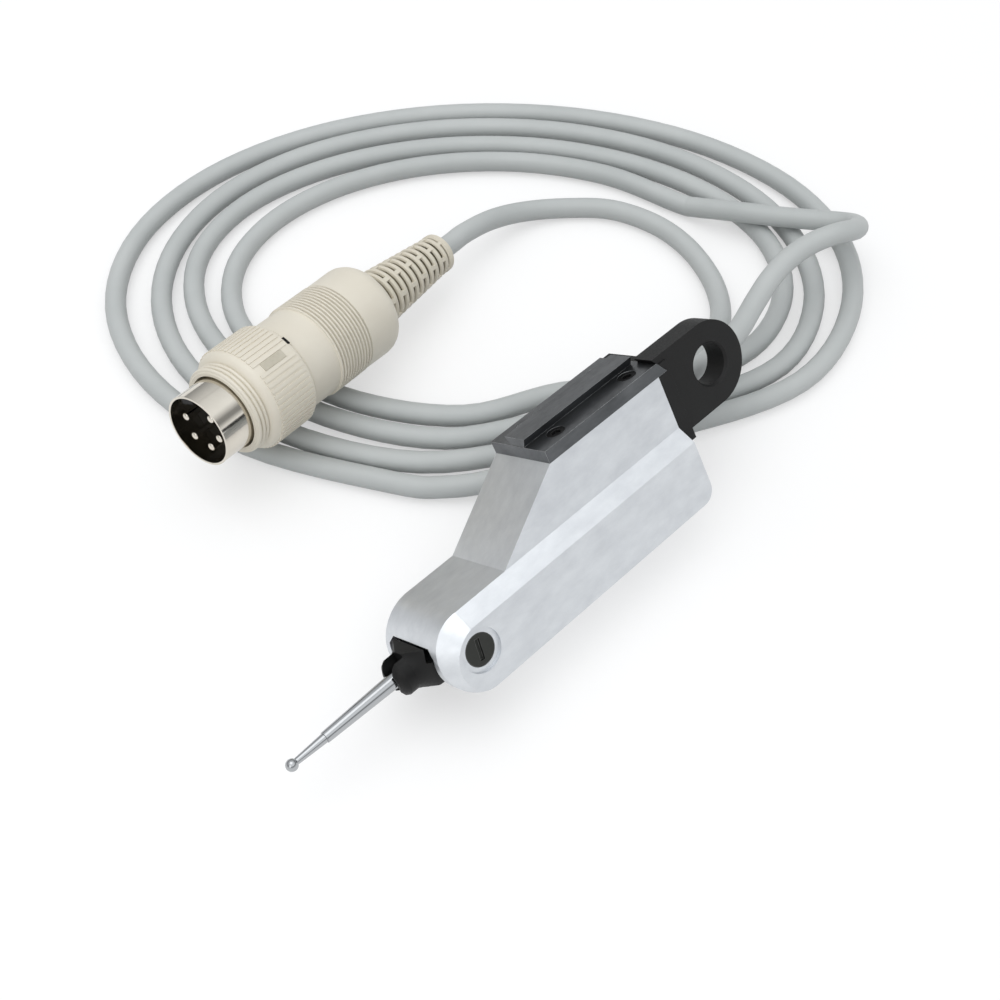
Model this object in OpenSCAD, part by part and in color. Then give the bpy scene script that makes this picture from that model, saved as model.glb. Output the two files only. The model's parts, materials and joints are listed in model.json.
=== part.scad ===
// Lever gauge head with its connecting cable and five-pin plug, in millimetres.
// The head leans on its coiled cable: +X runs along the head to its lug, +Z is up off the table.
// Head pieces are drawn upright, with the pivot line at x = 0, and leaned over as the last step.

/* [Body] */
// Distance from the pivot to the body's rear face
body_l = 50.7; // [49.5:0.1:58]
// Width across the body's flat sides
body_w = 19; // [18.6:0.1:22]
// Height of the straight bar, whose nose is round about the pivot
bar_h = 13.2; // [13:0.1:14]
// Width and depth of the bright bevels along the bar's top edges
bevel = 2.5; // [1.5:0.1:2.8]
// Distance from the pivot to the foot of the slope
slope_foot = 10.5; // [9:0.1:12]
// Distance from the pivot to the front of the raised block
block_front = 25.6; // [24.5:0.1:28]
// Height of the raised block up to the rail plate
block_h = 22.9; // [22.4:0.1:25.5]
// Radius of the rear lower corner
heel_r = 2.6; // [0.5:0.1:4]
// Thickness of the walls below the cavity and behind it
floor_t = 2.2; // [1.6:0.1:2.6]
// Width of the cavity that holds the sensing coil
cavity_w = 10; // [9.4:0.1:10.6]
// Angle at which the head leans away from upright
lean = 33; // [25:1:40]

/* [Nose slot] */
// Thickness of the two cheeks beside the slot
cheek_t = 3.4; // [3.2:0.1:4]
// Height of the slot's roof over the pivot line
slot_roof = 3.3; // [3.2:0.1:3.8]
// Size of the slot's cut top corners
slot_corner = 1.3; // [0.5:0.1:1.6]
// Radius of the round chamber about the holder's drum
chamber_r = 5.1; // [5.1:0.05:5.3]
// How far the slot is open underneath, behind the pivot line
slot_back = 4.4; // [4.2:0.1:5]

/* [Pivot] */
// Diameter of the pivot shaft between the cheeks
shaft_d = 3; // [2.6:0.1:3.2]
// Diameter of the shaft's thin ends, which run in the bearings
journal_d = 1.6; // [1.2:0.1:2]
// Outside diameter of the bearings
bearing_d = 3.6; // [3.2:0.1:4]
// Length of each bearing
bearing_l = 1.5; // [1:0.1:1.6]
// Diameter of the bearing screws
screw_d = 5.4; // [5:0.1:6]
// Length of the bearing screws
screw_l = 2.6; // [2.4:0.1:2.8]
// Diameter of the bright counterbores in the body's sides
counterbore_d = 7.2; // [6.6:0.1:7.6]
// Depth of the counterbores
counterbore_depth = 0.5; // [0.3:0.1:0.7]
// Width of the screwdriver slots in the bearing screws
driver_slot_w = 0.8; // [0.5:0.1:1]
// Length of the screwdriver slots in the bearing screws
driver_slot_l = 3.6; // [3:0.1:4.4]

/* [Stylus] */
// Radius of the holder's drum
drum_r = 4.8; // [4.5:0.05:4.8]
// Clearance between the drum's ends and the cheeks
drum_side_gap = 0.3; // [0.2:0.05:0.5]
// Radius of the holder's front, which is nearly flush with the nose
flush_r = 6.3; // [5.8:0.05:6.3]
// Radius of the boss that grips the stylus
boss_r = 3.3; // [3:0.1:3.5]
// Distance from the pivot to the boss's front end
boss_front = 11.4; // [11:0.1:12.5]
// Depth of the slot in the boss where the shank's root shows
boss_slot_l = 3; // [2:0.1:3.4]
// Clearance circle about the pivot that the boss stays outside
boss_back = 7; // [6.95:0.05:7.3]
// Diameter of the shank where it leaves the holder
shank_d = 2.7; // [2.2:0.1:3]
// Diameter of the shank at its shoulder
shoulder_d = 1.9; // [1.5:0.1:2.1]
// Distance from the pivot to the shoulder
shoulder_at = 24.8; // [22:0.1:28]
// Distance from the pivot to the centre of the contact ball
ball_at = 31.1; // [30:0.1:36]
// Diameter of the contact ball
ball_d = 2; // [1.6:0.1:3]
// Diameter of the tip rod at the shoulder
tip_root_d = 1.6; // [1.3:0.1:1.8]
// Diameter of the tip rod at the ball
tip_end_d = 1.1; // [0.9:0.1:1.3]

/* [Dovetail rail] */
// Thickness of the plate under the dovetail
rail_plate_t = 2.2; // [1.9:0.1:2.6]
// Height of the dovetail over its plate
dovetail_h = 1.5; // [1.2:0.1:1.9]
// Width across the dovetail's top
dovetail_w = 5; // [4.6:0.1:5.4]
// Angle of the dovetail's flanks
dovetail_angle = 60; // [50:1:70]
// Diameter of the rail screws' heads
rail_head_d = 3; // [2.6:0.1:3.2]
// Distance of the rail screws from the plate's long edges
rail_screw_edge = 3; // [2.7:0.1:3.2]
// Distance of the front rail screws from the plate's front end
rail_screw_front = 5.1; // [3:0.1:6]
// Distance of the rear rail screws from the body's rear face
rail_screw_rear = 3.6; // [2.8:0.1:5]

/* [Bracket] */
// Thickness of the bracket's base plate
base_t = 2.6; // [2:0.1:3.2]
// Height of the base plate's lower edge
base_low = 9.7; // [9.4:0.1:9.9]
// Thickness of the lug
lug_t = 4.4; // [3.5:0.1:4.6]
// Radius of the lug's round end
lug_r = 7.3; // [6.5:0.1:7.6]
// Distance from the base plate to the centre of the lug's hole
lug_reach = 8.3; // [7.9:0.1:10]
// Diameter of the hole in the lug
lug_hole_d = 7; // [5:0.1:8]
// Distance of the lug's outer face from the base plate's edge
lug_inset = 0.2; // [0:0.1:0.4]

/* [Sensor] */
// Width across the coil former's square flanges
flange_w = 8.6; // [8:0.1:8.6]
// Length of the coil former
former_l = 17; // [14:0.5:18]
// Room between the former and the cavity's rear wall
former_room = 2.5; // [2.2:0.1:4]
// Radius of the bore through the coil former
former_bore_r = 2; // [1.9:0.05:2.2]
// Radius of the core rod
core_r = 0.8; // [0.6:0.05:0.85]
// Length of the core rod
core_l = 20; // [16:0.5:22]

/* [Cable and plug] */
// Diameter of the cable
cable_d = 4; // [3.6:0.1:4.1]
// Diameter of the plug's metal shell
shell_d = 13.2; // [12.8:0.1:13.4]
// How far the shell stands out of the coupling ring
shell_out = 6; // [5.5:0.1:8]
// Diameter of the circle that the pins stand on
pin_circle_d = 7.5; // [7:0.1:8]
// Diameter of the plug's pins
pin_d = 1.45; // [1.2:0.05:1.6]
// Diameter of the coupling ring's knurled grip
ring_d = 19.6; // [18.8:0.1:19.8]
// Diameter of the coupling ring's threaded nose
ring_nose_d = 16.4; // [15.8:0.1:16.6]
// Length of the coupling ring
ring_l = 13; // [12.5:0.1:14]
// Diameter of the plug's body behind the coupling ring
plug_d = 17.6; // [17.2:0.1:18]
// Length of the smooth neck behind the coupling ring
plug_neck_l = 7.2; // [6:0.1:8]
// Length of the grooved grip on the plug's body
plug_grip_l = 8.2; // [7:0.1:10]
// Length of the rounded hood behind the grip
hood_l = 9.1; // [8.5:0.1:12]
// Length of the flexible boot behind the hood
boot_l = 21.3; // [18:0.1:23]

/* [Hidden] */

$fn = 96;
small_fn = 48;
overcut = 1;

// Colours
satin = [0.82, 0.83, 0.85];
gunmetal = [0.22, 0.23, 0.24];
matte_black = [0.07, 0.07, 0.07];
steel = [0.72, 0.73, 0.75];
brass = [0.78, 0.62, 0.30];
copper = [0.72, 0.42, 0.25];
board_green = [0.12, 0.35, 0.22];
cable_grey = [0.70, 0.71, 0.72];
ivory = [0.87, 0.85, 0.80];
nickel = [0.80, 0.79, 0.76];

// Body
nose_r = bar_h / 2;
block_w = body_w - 2 * bevel;
block_top = block_h + rail_plate_t;
rail_top = block_top + dovetail_h;
slot_w = body_w - 2 * cheek_t;
cavity_top = bar_h - 2.2;
cavity_front = 7;
block_cavity_top = block_h - 3;
arm_slot_w = 3.4;
arm_slot_h = 5.2;
rear_window_low = cavity_top + 2;
former_at = body_l - floor_t - former_room - former_l;

// The bevel fades out round the nose: its depth follows a cone that is a little off the pivot line.
// The two shares give the full depth on top and none at 20 degrees before the bottom.
bevel_mean = 0.426 * bevel;
bevel_swing = 0.663 * bevel;
bevel_fade_angle = 300;

// Fits
running_gap = 0.02;
seat_gap = 0.03;
side_gap = 0.05;
free_gap = 0.4;

// Pivot
screw_face = body_w / 2 - counterbore_depth;
screw_inner = screw_face - screw_l;
bearing_inner = screw_inner + 0.1;
driver_slot_depth = 0.5;
driver_slot_turn = 8;
shaft_half = screw_inner - 0.3;
journal_half = bearing_inner + bearing_l - 0.2;

// Lever
hub_r = 3;
hub_w = 2.4;
washer_t = 0.3;
groove_w = hub_w + 2 * washer_t + 2 * side_gap;
groove_r = hub_r + 0.3;
groove_from = -125;
groove_to = 50;
groove_step = 25;
arm_h = 2.4;
arm_w = 2;
core_at = former_at - 7;
arm_end = core_at + 2;
core_socket_r = core_r + seat_gap;

// Stylus holder: its front fills the nose slot between two angles, measured from +X upwards
drum_w = slot_w - 2 * drum_side_gap;
flush_from = 168;
flush_to = 209;
flush_inset = 0.7;
grip_depth = 5.2;
shank_root = -boss_front + boss_slot_l - seat_gap;
boss_flat = boss_r + 0.05;
boss_profile = [[4, 0], [4, drum_w / 2 - 0.2],
    [flush_r - 0.6, drum_w / 2 - 0.2], [flush_r + 0.15, drum_w / 2 - 0.6],
    [7.15, 4.35], [7.85, 3.7], [8.6, boss_r], [boss_front - 1.2, boss_r], [boss_front - 0.5, boss_r - 0.4],
    [boss_front, boss_r - 1.2], [boss_front, 0]];
spigot_d = 1.6;
tip_spigot_d = 0.9;
tip_spigot_l = 2.4;
ball_seat = 0.55;

// Rail and its screws
rail_screw_xs = [block_front + rail_screw_front, body_l - rail_screw_rear];
rail_screw_y = block_w / 2 - rail_screw_edge;
plate_over = 2.05;
end_slope = 0.677;
rail_head_h = 1;
rail_shank_d = 1.6;
rail_shank_l = 3;

// Bracket
base_rear = body_l + base_t;
lug_x = base_rear + lug_reach;
lug_top = rail_top - 0.6;
lug_z = lug_top - lug_r;
base_top = block_top - 0.4;
lug_low = lug_z - lug_r;
lug_near = -block_w / 2 + lug_inset;
lug_far = lug_near + lug_t;
lug_lip = 0.4;
bracket_screw_d = 1.6;
bracket_head_d = 2.8;
bracket_screw_l = 4.4;
bracket_screws_at = [[-block_w / 2 + 2.4, base_low + 1.5], [block_w / 2 - 2.6, block_cavity_top + 1.5]];

// Gland
gland_y = 3.2;
gland_z = 13.9;
gland_r = 2.9;
gland_l = 5;
cable_r = cable_d / 2;
cable_gap = 0.05;
gland_spigot_l = base_t + 1.2;

// Sensor
former_wall = 0.5;
flange_t = 1;
winding_gap = 0.5;
spring_at = 14.5;
spring_r = 1.3;
spring_wire_r = 0.22;
spring_turns = 4;
board_l = 14;
board_t = 0.8;
board_side_gap = 0.4;
board_lift = 3;
board_post_d = 2;
board_post_inset = 1.5;
pad_d = 0.8;
pad_pitch = 2;
pad_inset = 3;
clamp_t = 1.6;
clamp_w = 3.6;
clamp_h = 5;
clamp_drop = 2.15;
clamp_bore_r = 1.2;

// Where the head stands on the table: its middle over the origin, its lower far edge on the table
middle_x = 18.4;
middle_y = 6.2;
lift = body_w / 2 * sin(lean);

// Plug: its front end, and the way it lies on the cable
plug_at = [-22.7, 51.7, 17.8];
plug_pitch = 7.75;
plug_yaw = 8.4;
plug_roll = 27.7;
shell_wall = 0.4;
insert_recess = 5.2;
pin_recess = 0.8;
pin_spread = 60;
pin_count = 5;
plug_axis = [cos(plug_pitch) * cos(plug_yaw), cos(plug_pitch) * sin(plug_yaw), -sin(plug_pitch)];
ring_nose_l = 2.6;
nose_ridges = 3;
ring_bore_gap = 0.05;
core_tube_r = ring_nose_d / 2 - 1.3;
ring_end = shell_out + ring_l;
neck_end = ring_end + plug_neck_l;
grip_end = neck_end + plug_grip_l;
hood_end = grip_end + hood_l;
boot_end = hood_end + boot_l;
boot_front_r = 5.5;
boot_rear_r = 3.9;
boot_rows = 11;
knurl_count = 60;
knurl_from = shell_out + ring_nose_l + 2.3;
knurl_to = ring_end - 1.2;
window_l = 5;
window_w = 1.8;
grip_grooves = 11;
hood_shoulder = 3;
hood_bore_r = 6;
plug_bore_r = 5;
boot_lip_r = boot_front_r - 1;
slot_row_l = boot_l * 0.8 / boot_rows;
shell_end = ring_end + 2;

// Coiled cable: turns of a flat oval that open outwards, pressed in where the head stands
coil_at = [48.5, 53.5];
coil_long = 74.5;
coil_short = 52;
coil_turn = -45;
coil_inner_share = 0.64;
coil_dent = 0.12;
coil_dent_at = 289;
coil_dent_width = 20;
coil_h = cable_d + 0.2;
coil_margin = cable_r + 0.2;
coil_step = 5;

// Cable from the gland, over the coil and back down into its innermost turn
gland_mouth = [base_rear + 1 - middle_x, gland_y * cos(lean) + gland_z * sin(lean) - middle_y,
    gland_z * cos(lean) - gland_y * sin(lean) + lift];
lead_route = [
    gland_mouth, gland_mouth + [6, 0, 0], [48, 4, 15.1], [55, 4.2, 14.6], [61.1, 5.3, 14.4],
    [68, 7.4, 14.6], [74, 8.8, 15.4], [79.7, 9.1, 16.4], [84.6, 8.1, 17.4], [89.1, 6.6, 17.6],
    [93.2, 5.9, 16.2], [97.4, 6.7, 13.6], [100.6, 8.5, 11], [102.3, 11, 8.9], [101.8, 14.6, 7.4],
    [99.5, 19, 6.6], [96.3, 23.8, 6.3], [93.2, 28.8, 6], [91.3, 34.2, 4.6], [90.2, 39, 2.9],
    [89.4, 43, 2.1]];

// Cable from the coil's outermost turn, over the other turns and round to the plug
tail_route = [
    [0.2, 30.6, 2.1], [6, 23.6, 2.3], [12.6, 18, 3.4], [20, 14.2, 5.2], [28, 12.4, 6.3],
    [37, 11.4, 6.4], [47, 10.8, 6.4], [57, 11, 6.2], [65, 12.8, 4.4], [72, 17, 2.6],
    [77.6, 24, 2.1], [81, 33, 2.1], [81.4, 42, 2.1], [78.4, 51, 2.1], [72, 58, 2.1],
    [64.5, 62, 3.4], [56.5, 62.8, 6], plug_at + 73 * plug_axis, plug_at + 68 * plug_axis,
    plug_at + (boot_end - 2.4) * plug_axis];
cable_sides = 10;
spring_sides = 6;

// Vector helpers
function unit(v) = v / norm(v);
function tangent(path, i) = unit(path[min(i + 1, len(path) - 1)] - path[max(i - 1, 0)]);
function across(t, last) = unit(last - t * (last * t));

// Each ring keeps the direction of the one before it, so that the tube doesn't twist
function side_of(path, i) =
    i == 0 ? across(tangent(path, 0), abs(tangent(path, 0).z) > 0.9 ? [1, 0, 0] : [0, 0, 1])
    : across(tangent(path, i), side_of(path, i - 1));

// Smooth route through hand-chosen points, with one point added between each pair
function between(p0, p1, p2, p3) = (9 * (p1 + p2) - p0 - p3) / 16;
function smoothed(p) = [
    for (i = [0 : len(p) - 2])
        for (q = [p[i], between(p[max(i - 1, 0)], p[i], p[i + 1], p[min(i + 2, len(p) - 1)])])
            q,
    p[len(p) - 1]];

// Share of the oval that a turn loses where the head presses it in
function dent(angle) =
    let (away = abs(((angle - coil_dent_at) % 360 + 540) % 360 - 180))
    coil_dent * exp(-pow(away / coil_dent_width, 2));

// Point of the oval outline at an angle, with a margin added on both half axes
function oval(share, margin, angle) =
    let (scale_here = share - dent(angle))
    [(coil_long * scale_here + margin) * cos(angle), (coil_short * scale_here + margin) * sin(angle)];

// Moves what is drawn upright into its leaning place
module leaned() {
    translate([-middle_x, -middle_y, lift])
        rotate([-lean, 0, 0])
            children();
}

// Draws along the plug: +X runs from the shell's rim back to the cable
module at_plug() {
    translate(plug_at)
        rotate([-plug_roll, plug_pitch, plug_yaw])
            children();
}

// Side outline (x, z) drawn through a width that is centred on the middle plane
module across_width(width) {
    translate([0, width / 2, 0])
        rotate([90, 0, 0])
            linear_extrude(width)
                children();
}

// Cylinder along Y, from one y to another, through (x, z)
module pin_y(x, z, from, to, r) {
    translate([x, to, z])
        rotate([90, 0, 0])
            cylinder(h = to - from, r = r);
}

// Cylinder or cone along X, from one x to another, through (y, z)
module rod_x(from, to, y, z, r_from, r_to) {
    translate([from, y, z])
        rotate([0, 90, 0])
            cylinder(h = to - from, r1 = r_from, r2 = r_to);
}

// Tube of round section swept along a route
module swept(path, radius, sides) {
    rings = [
        for (i = [0 : len(path) - 1])
            let (t = tangent(path, i), a = side_of(path, i), b = cross(t, a))
                for (k = [0 : sides - 1])
                    path[i] + radius * (a * cos(360 * k / sides) + b * sin(360 * k / sides))];
    last_ring = (len(path) - 1) * sides;
    first_cap = [for (k = [0 : sides - 1]) k];
    last_cap = [for (k = [0 : sides - 1]) last_ring + sides - 1 - k];
    walls = [
        for (i = [0 : len(path) - 2])
            for (k = [0 : sides - 1])
                let (next = (k + 1) % sides, here = i * sides, beyond = here + sides)
                    for (face = [[here + k, beyond + k, here + next],
                            [here + next, beyond + k, beyond + next]])
                        face];
    polyhedron(points = rings, faces = concat([first_cap, last_cap], walls));
}

// Outline of the housing seen from its side
module body_outline() {
    translate([0, nose_r])
        circle(nose_r);
    difference() {
        square([body_l, bar_h]);
        translate([body_l - heel_r, 0])
            square([heel_r, heel_r]);
    }
    translate([body_l - heel_r, heel_r])
        circle(heel_r);
}

// Outline of the raised block with its slope, seen from its side
module block_outline() {
    polygon([[slope_foot, bar_h], [block_front, block_h], [body_l, block_h], [body_l, nose_r],
        [slope_foot, nose_r]]);
}

// Space outside the cone that shapes the bevel round the nose, on the near side
module nose_bevel_cut() {
    face_r = nose_r - bevel_mean;
    off_x = bevel_swing * cos(bevel_fade_angle);
    off_z = bevel_swing * sin(bevel_fade_angle);
    difference() {
        translate([-nose_r - overcut, -body_w / 2 - overcut, -overcut])
            cube([nose_r + overcut, bevel + overcut + 0.6, bar_h + 2 * overcut]);
        translate([off_x, -body_w / 2 - overcut - 0.1, nose_r + off_z])
            rotate([-90, 0, 0])
                cylinder(h = bevel + 2 * overcut, r1 = face_r - overcut - 0.1,
                    r2 = face_r + bevel + overcut - 0.1);
    }
}

// Straight bevel along the near top edge of the bar
module edge_bevel_cut() {
    rotate([90, 0, 90])
        linear_extrude(body_l + overcut)
            polygon([[-body_w / 2 - overcut, bar_h - bevel - overcut],
                [-body_w / 2 + bevel + overcut, bar_h + overcut],
                [-body_w / 2 - overcut, bar_h + overcut]]);
}

// Slot in the nose with its round chamber and its open underside
module nose_slot_cut() {
    pin_y(0, nose_r, -slot_w / 2, slot_w / 2, chamber_r);
    translate([-nose_r - overcut, 0, 0])
        rotate([90, 0, 90])
            linear_extrude(nose_r + overcut)
                polygon([[-slot_w / 2, -overcut], [slot_w / 2, -overcut],
                    [slot_w / 2, nose_r + slot_roof - slot_corner],
                    [slot_w / 2 - slot_corner, nose_r + slot_roof],
                    [-slot_w / 2 + slot_corner, nose_r + slot_roof],
                    [-slot_w / 2, nose_r + slot_roof - slot_corner]]);
    translate([-nose_r, -slot_w / 2, -overcut])
        cube([nose_r + slot_back, slot_w, nose_r / 2 + overcut]);
}

// Counterbore, thread bore and bearing space through one cheek
module cheek_bore(side) {
    outer = body_w / 2 + overcut;
    near = side < 0 ? -outer : screw_face;
    pin_y(0, nose_r, near, near + outer - screw_face, counterbore_d / 2);
    pin_y(0, nose_r, side < 0 ? -outer : slot_w / 2 - overcut,
        side < 0 ? -slot_w / 2 + overcut : outer, screw_d / 2 + seat_gap);
}

// Cavity for the lever, the sensing coil and the board
module cavity_cut() {
    across_width(cavity_w)
        polygon([[cavity_front, floor_t], [body_l - floor_t, floor_t], [body_l - floor_t, block_cavity_top],
            [block_front - 1, block_cavity_top], [slope_foot + 2, cavity_top], [cavity_front, cavity_top]]);
    translate([0, -arm_slot_w / 2, nose_r - arm_slot_h / 2])
        cube([cavity_front + overcut, arm_slot_w, arm_slot_h]);
    translate([body_l - floor_t - overcut, -cavity_w / 2, rear_window_low])
        cube([floor_t + 2 * overcut, cavity_w, block_cavity_top - rear_window_low]);
}

// Tapped holes for the rail and bracket screws
module body_screw_holes() {
    for (x = rail_screw_xs)
        for (y = [-rail_screw_y, rail_screw_y])
            translate([x, y, block_top - rail_head_h - rail_shank_l - 0.1])
                cylinder(h = rail_shank_l + overcut, r = rail_shank_d / 2 + seat_gap, $fn = small_fn);
    for (p = bracket_screws_at)
        rod_x(base_rear - bracket_screw_l - 0.1, body_l + overcut, p[0], p[1],
            bracket_screw_d / 2 + seat_gap, bracket_screw_d / 2 + seat_gap);
}

// Machined aluminium body: bar, sloped block, bevels, nose slot and cavity
module housing() {
    color(satin)
        leaned()
            difference() {
                union() {
                    across_width(body_w)
                        body_outline();
                    across_width(block_w)
                        block_outline();
                }
                for (side = [0, 1])
                    mirror([0, side, 0]) {
                        nose_bevel_cut();
                        difference() {
                            edge_bevel_cut();
                            translate([slope_foot, -block_w / 2, 0])
                                cube([body_l, block_w, block_h]);
                        }
                    }
                nose_slot_cut();
                cheek_bore(-1);
                cheek_bore(1);
                cavity_cut();
                body_screw_holes();
            }
}

// Rail plate with its undercut dovetail and the screw recesses beside it
module dovetail_rail() {
    undercut = dovetail_h / tan(dovetail_angle);
    color(gunmetal)
        leaned()
            difference() {
                union() {
                    across_width(block_w)
                        polygon([[block_front, block_h], [block_front, block_top],
                            [body_l + plate_over - rail_plate_t * end_slope, block_top],
                            [body_l + plate_over, block_h]]);
                    translate([block_front + 0.1, 0, 0])
                        rotate([90, 0, 90])
                            linear_extrude(body_l - block_front - 0.4)
                                polygon([[-dovetail_w / 2 + undercut, block_top - 0.1],
                                    [dovetail_w / 2 - undercut, block_top - 0.1],
                                    [dovetail_w / 2, rail_top], [-dovetail_w / 2, rail_top]]);
                }
                for (x = rail_screw_xs)
                    for (y = [-rail_screw_y, rail_screw_y]) {
                        translate([x, y, block_top - rail_head_h - 0.1])
                            cylinder(h = rail_head_h + 0.2, d = rail_head_d + 0.2, $fn = small_fn);
                        translate([x, y, block_h - overcut])
                            cylinder(h = rail_plate_t + overcut, r = rail_shank_d / 2 + seat_gap,
                                $fn = small_fn);
                    }
            }
}

// Four socket-head screws that hold the rail down
module rail_screws() {
    color(matte_black)
        leaned()
            for (x = rail_screw_xs)
                for (y = [-rail_screw_y, rail_screw_y])
                    translate([x, y, block_top - rail_head_h - 0.1])
                        difference() {
                            union() {
                                cylinder(h = rail_head_h, d = rail_head_d, $fn = small_fn);
                                translate([0, 0, -rail_shank_l + 0.2])
                                    cylinder(h = rail_shank_l, d = rail_shank_d, $fn = small_fn);
                            }
                            translate([0, 0, rail_head_h - 0.6])
                                linear_extrude(overcut)
                                    circle(d = 1.8, $fn = 6);
                        }
}

// Base plate and holed lug, milled as one piece
module rear_bracket() {
    color(matte_black)
        leaned()
            difference() {
                union() {
                    translate([body_l, -block_w / 2, base_low])
                        cube([base_t, block_w, base_top - base_low]);
                    translate([0, (lug_near + lug_far) / 2, 0])
                        across_width(lug_t) {
                            translate([body_l, lug_low])
                                square([lug_x - body_l, 2 * lug_r]);
                            translate([lug_x, lug_z])
                                circle(lug_r);
                        }
                }
                across_width(block_w + 2 * overcut)
                    polygon([[body_l - overcut, block_h], [body_l + plate_over + side_gap, block_h],
                        [body_l + plate_over + side_gap - (lug_top + overcut - block_h) * end_slope,
                            lug_top + overcut],
                        [body_l - overcut, lug_top + overcut]]);
                pin_y(lug_x, lug_z, lug_near - overcut, lug_far + overcut, lug_hole_d / 2);
                translate([lug_x, lug_near - 0.01, lug_z])
                    rotate([-90, 0, 0])
                        cylinder(h = lug_lip, r1 = lug_hole_d / 2 + lug_lip, r2 = lug_hole_d / 2);
                rod_x(body_l - overcut, base_rear + overcut, gland_y, gland_z, gland_r - 0.6, gland_r - 0.6);
                for (p = bracket_screws_at) {
                    rod_x(body_l - overcut, base_rear + overcut, p[0], p[1],
                        bracket_screw_d / 2 + seat_gap, bracket_screw_d / 2 + seat_gap);
                    rod_x(base_rear - 1, base_rear + overcut, p[0], p[1],
                        bracket_head_d / 2 + 0.1, bracket_head_d / 2 + 0.1);
                }
            }
}

// Two screws that hold the bracket to the body
module bracket_screws() {
    color(steel)
        leaned()
            for (p = bracket_screws_at)
                difference() {
                    union() {
                        rod_x(base_rear - 1, base_rear - 0.1, p[0], p[1],
                            bracket_head_d / 2, bracket_head_d / 2);
                        rod_x(base_rear - bracket_screw_l, base_rear - 0.5, p[0], p[1],
                            bracket_screw_d / 2, bracket_screw_d / 2);
                    }
                    translate([base_rear - 0.6, p[0] - bracket_head_d / 2, p[1] - 0.2])
                        cube([overcut, bracket_head_d, 0.4]);
                }
}

// Slotted screw that carries one bearing, drawn for the near cheek
module bearing_screw() {
    difference() {
        pin_y(0, nose_r, -screw_face, -screw_inner, screw_d / 2);
        pin_y(0, nose_r, -bearing_inner - bearing_l, -screw_inner + overcut, bearing_d / 2 + seat_gap);
        translate([0, 0, nose_r])
            rotate([0, driver_slot_turn, 0])
                translate([-driver_slot_w / 2, -screw_face - overcut, -driver_slot_l / 2])
                    cube([driver_slot_w, overcut + driver_slot_depth, driver_slot_l]);
    }
}

// Near bearing screw
module bearing_screw_near() {
    color(gunmetal)
        leaned()
            bearing_screw();
}

// Far bearing screw
module bearing_screw_far() {
    color(gunmetal)
        leaned()
            mirror([0, 1, 0])
                bearing_screw();
}

// Bearing rings inside the two screws
module bearings() {
    color(brass)
        leaned()
            for (side = [0, 1])
                mirror([0, side, 0])
                    difference() {
                        pin_y(0, nose_r, -bearing_inner - bearing_l + seat_gap, -bearing_inner,
                            bearing_d / 2);
                        pin_y(0, nose_r, -bearing_inner - bearing_l, -bearing_inner + overcut,
                            journal_d / 2 + running_gap);
                    }
}

// Pivot shaft with thin ends
module pivot_shaft() {
    color(steel)
        leaned() {
            pin_y(0, nose_r, -shaft_half, shaft_half, shaft_d / 2);
            pin_y(0, nose_r, -journal_half, journal_half, journal_d / 2);
        }
}

// Hub ring and arm that carry the core rod
module lever_arm() {
    color(steel)
        leaned()
            difference() {
                union() {
                    pin_y(0, nose_r, -hub_w / 2, hub_w / 2, hub_r);
                    translate([hub_r - 1, -arm_w / 2, nose_r - arm_h / 2])
                        cube([arm_end - hub_r + 1, arm_w, arm_h]);
                }
                pin_y(0, nose_r, -hub_w, hub_w, shaft_d / 2 + seat_gap);
                rod_x(core_at - 0.1, arm_end + overcut, 0, nose_r, core_socket_r, core_socket_r);
            }
}

// Thin washers on both sides of the hub, which give the holder its drag
module friction_washers() {
    color(brass)
        leaned()
            for (side = [0, 1])
                mirror([0, side, 0])
                    difference() {
                        pin_y(0, nose_r, -hub_w / 2 - washer_t, -hub_w / 2, hub_r);
                        pin_y(0, nose_r, -hub_w, hub_w, shaft_d / 2 + seat_gap);
                    }
}

// Magnetic core rod at the end of the arm
module core_rod() {
    color(nickel)
        leaned()
            rod_x(core_at, core_at + core_l, 0, nose_r, core_r, core_r);
}

// Bobbin with square flanges, resting on the cavity's floor
module coil_former() {
    former_z = floor_t + flange_w / 2;
    color(ivory)
        leaned()
            difference() {
                union() {
                    rod_x(former_at, former_at + former_l, 0, nose_r, former_bore_r + former_wall,
                        former_bore_r + former_wall);
                    for (x = [0, former_l / 2 - flange_t / 2, former_l - flange_t])
                        translate([former_at + x, -flange_w / 2, former_z - flange_w / 2])
                            cube([flange_t, flange_w, flange_w]);
                }
                rod_x(former_at - overcut, former_at + former_l + overcut, 0, nose_r,
                    former_bore_r, former_bore_r);
            }
}

// Two windings between the bobbin's flanges
module coil_windings() {
    half = former_l / 2 - flange_t / 2;
    color(copper)
        leaned()
            for (x = [former_at + flange_t, former_at + half + flange_t])
                difference() {
                    rod_x(x + side_gap, x + half - flange_t - side_gap, 0, nose_r,
                        flange_w / 2 - winding_gap, flange_w / 2 - winding_gap);
                    rod_x(x - overcut, x + half + overcut, 0, nose_r,
                        former_bore_r + former_wall + seat_gap, former_bore_r + former_wall + seat_gap);
                }
}

// Small coil spring between the cavity's floor and the arm
module return_spring() {
    spring_low = floor_t + spring_wire_r + 0.05;
    spring_high = nose_r - arm_h / 2 - free_gap - spring_wire_r;
    steps = spring_turns * 12;
    route = [
        for (i = [0 : steps])
            [spring_at + spring_r * cos(30 * i), spring_r * sin(30 * i),
                spring_low + (spring_high - spring_low) * i / steps]];
    color(steel)
        leaned()
            swept(route, spring_wire_r, spring_sides);
}

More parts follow.
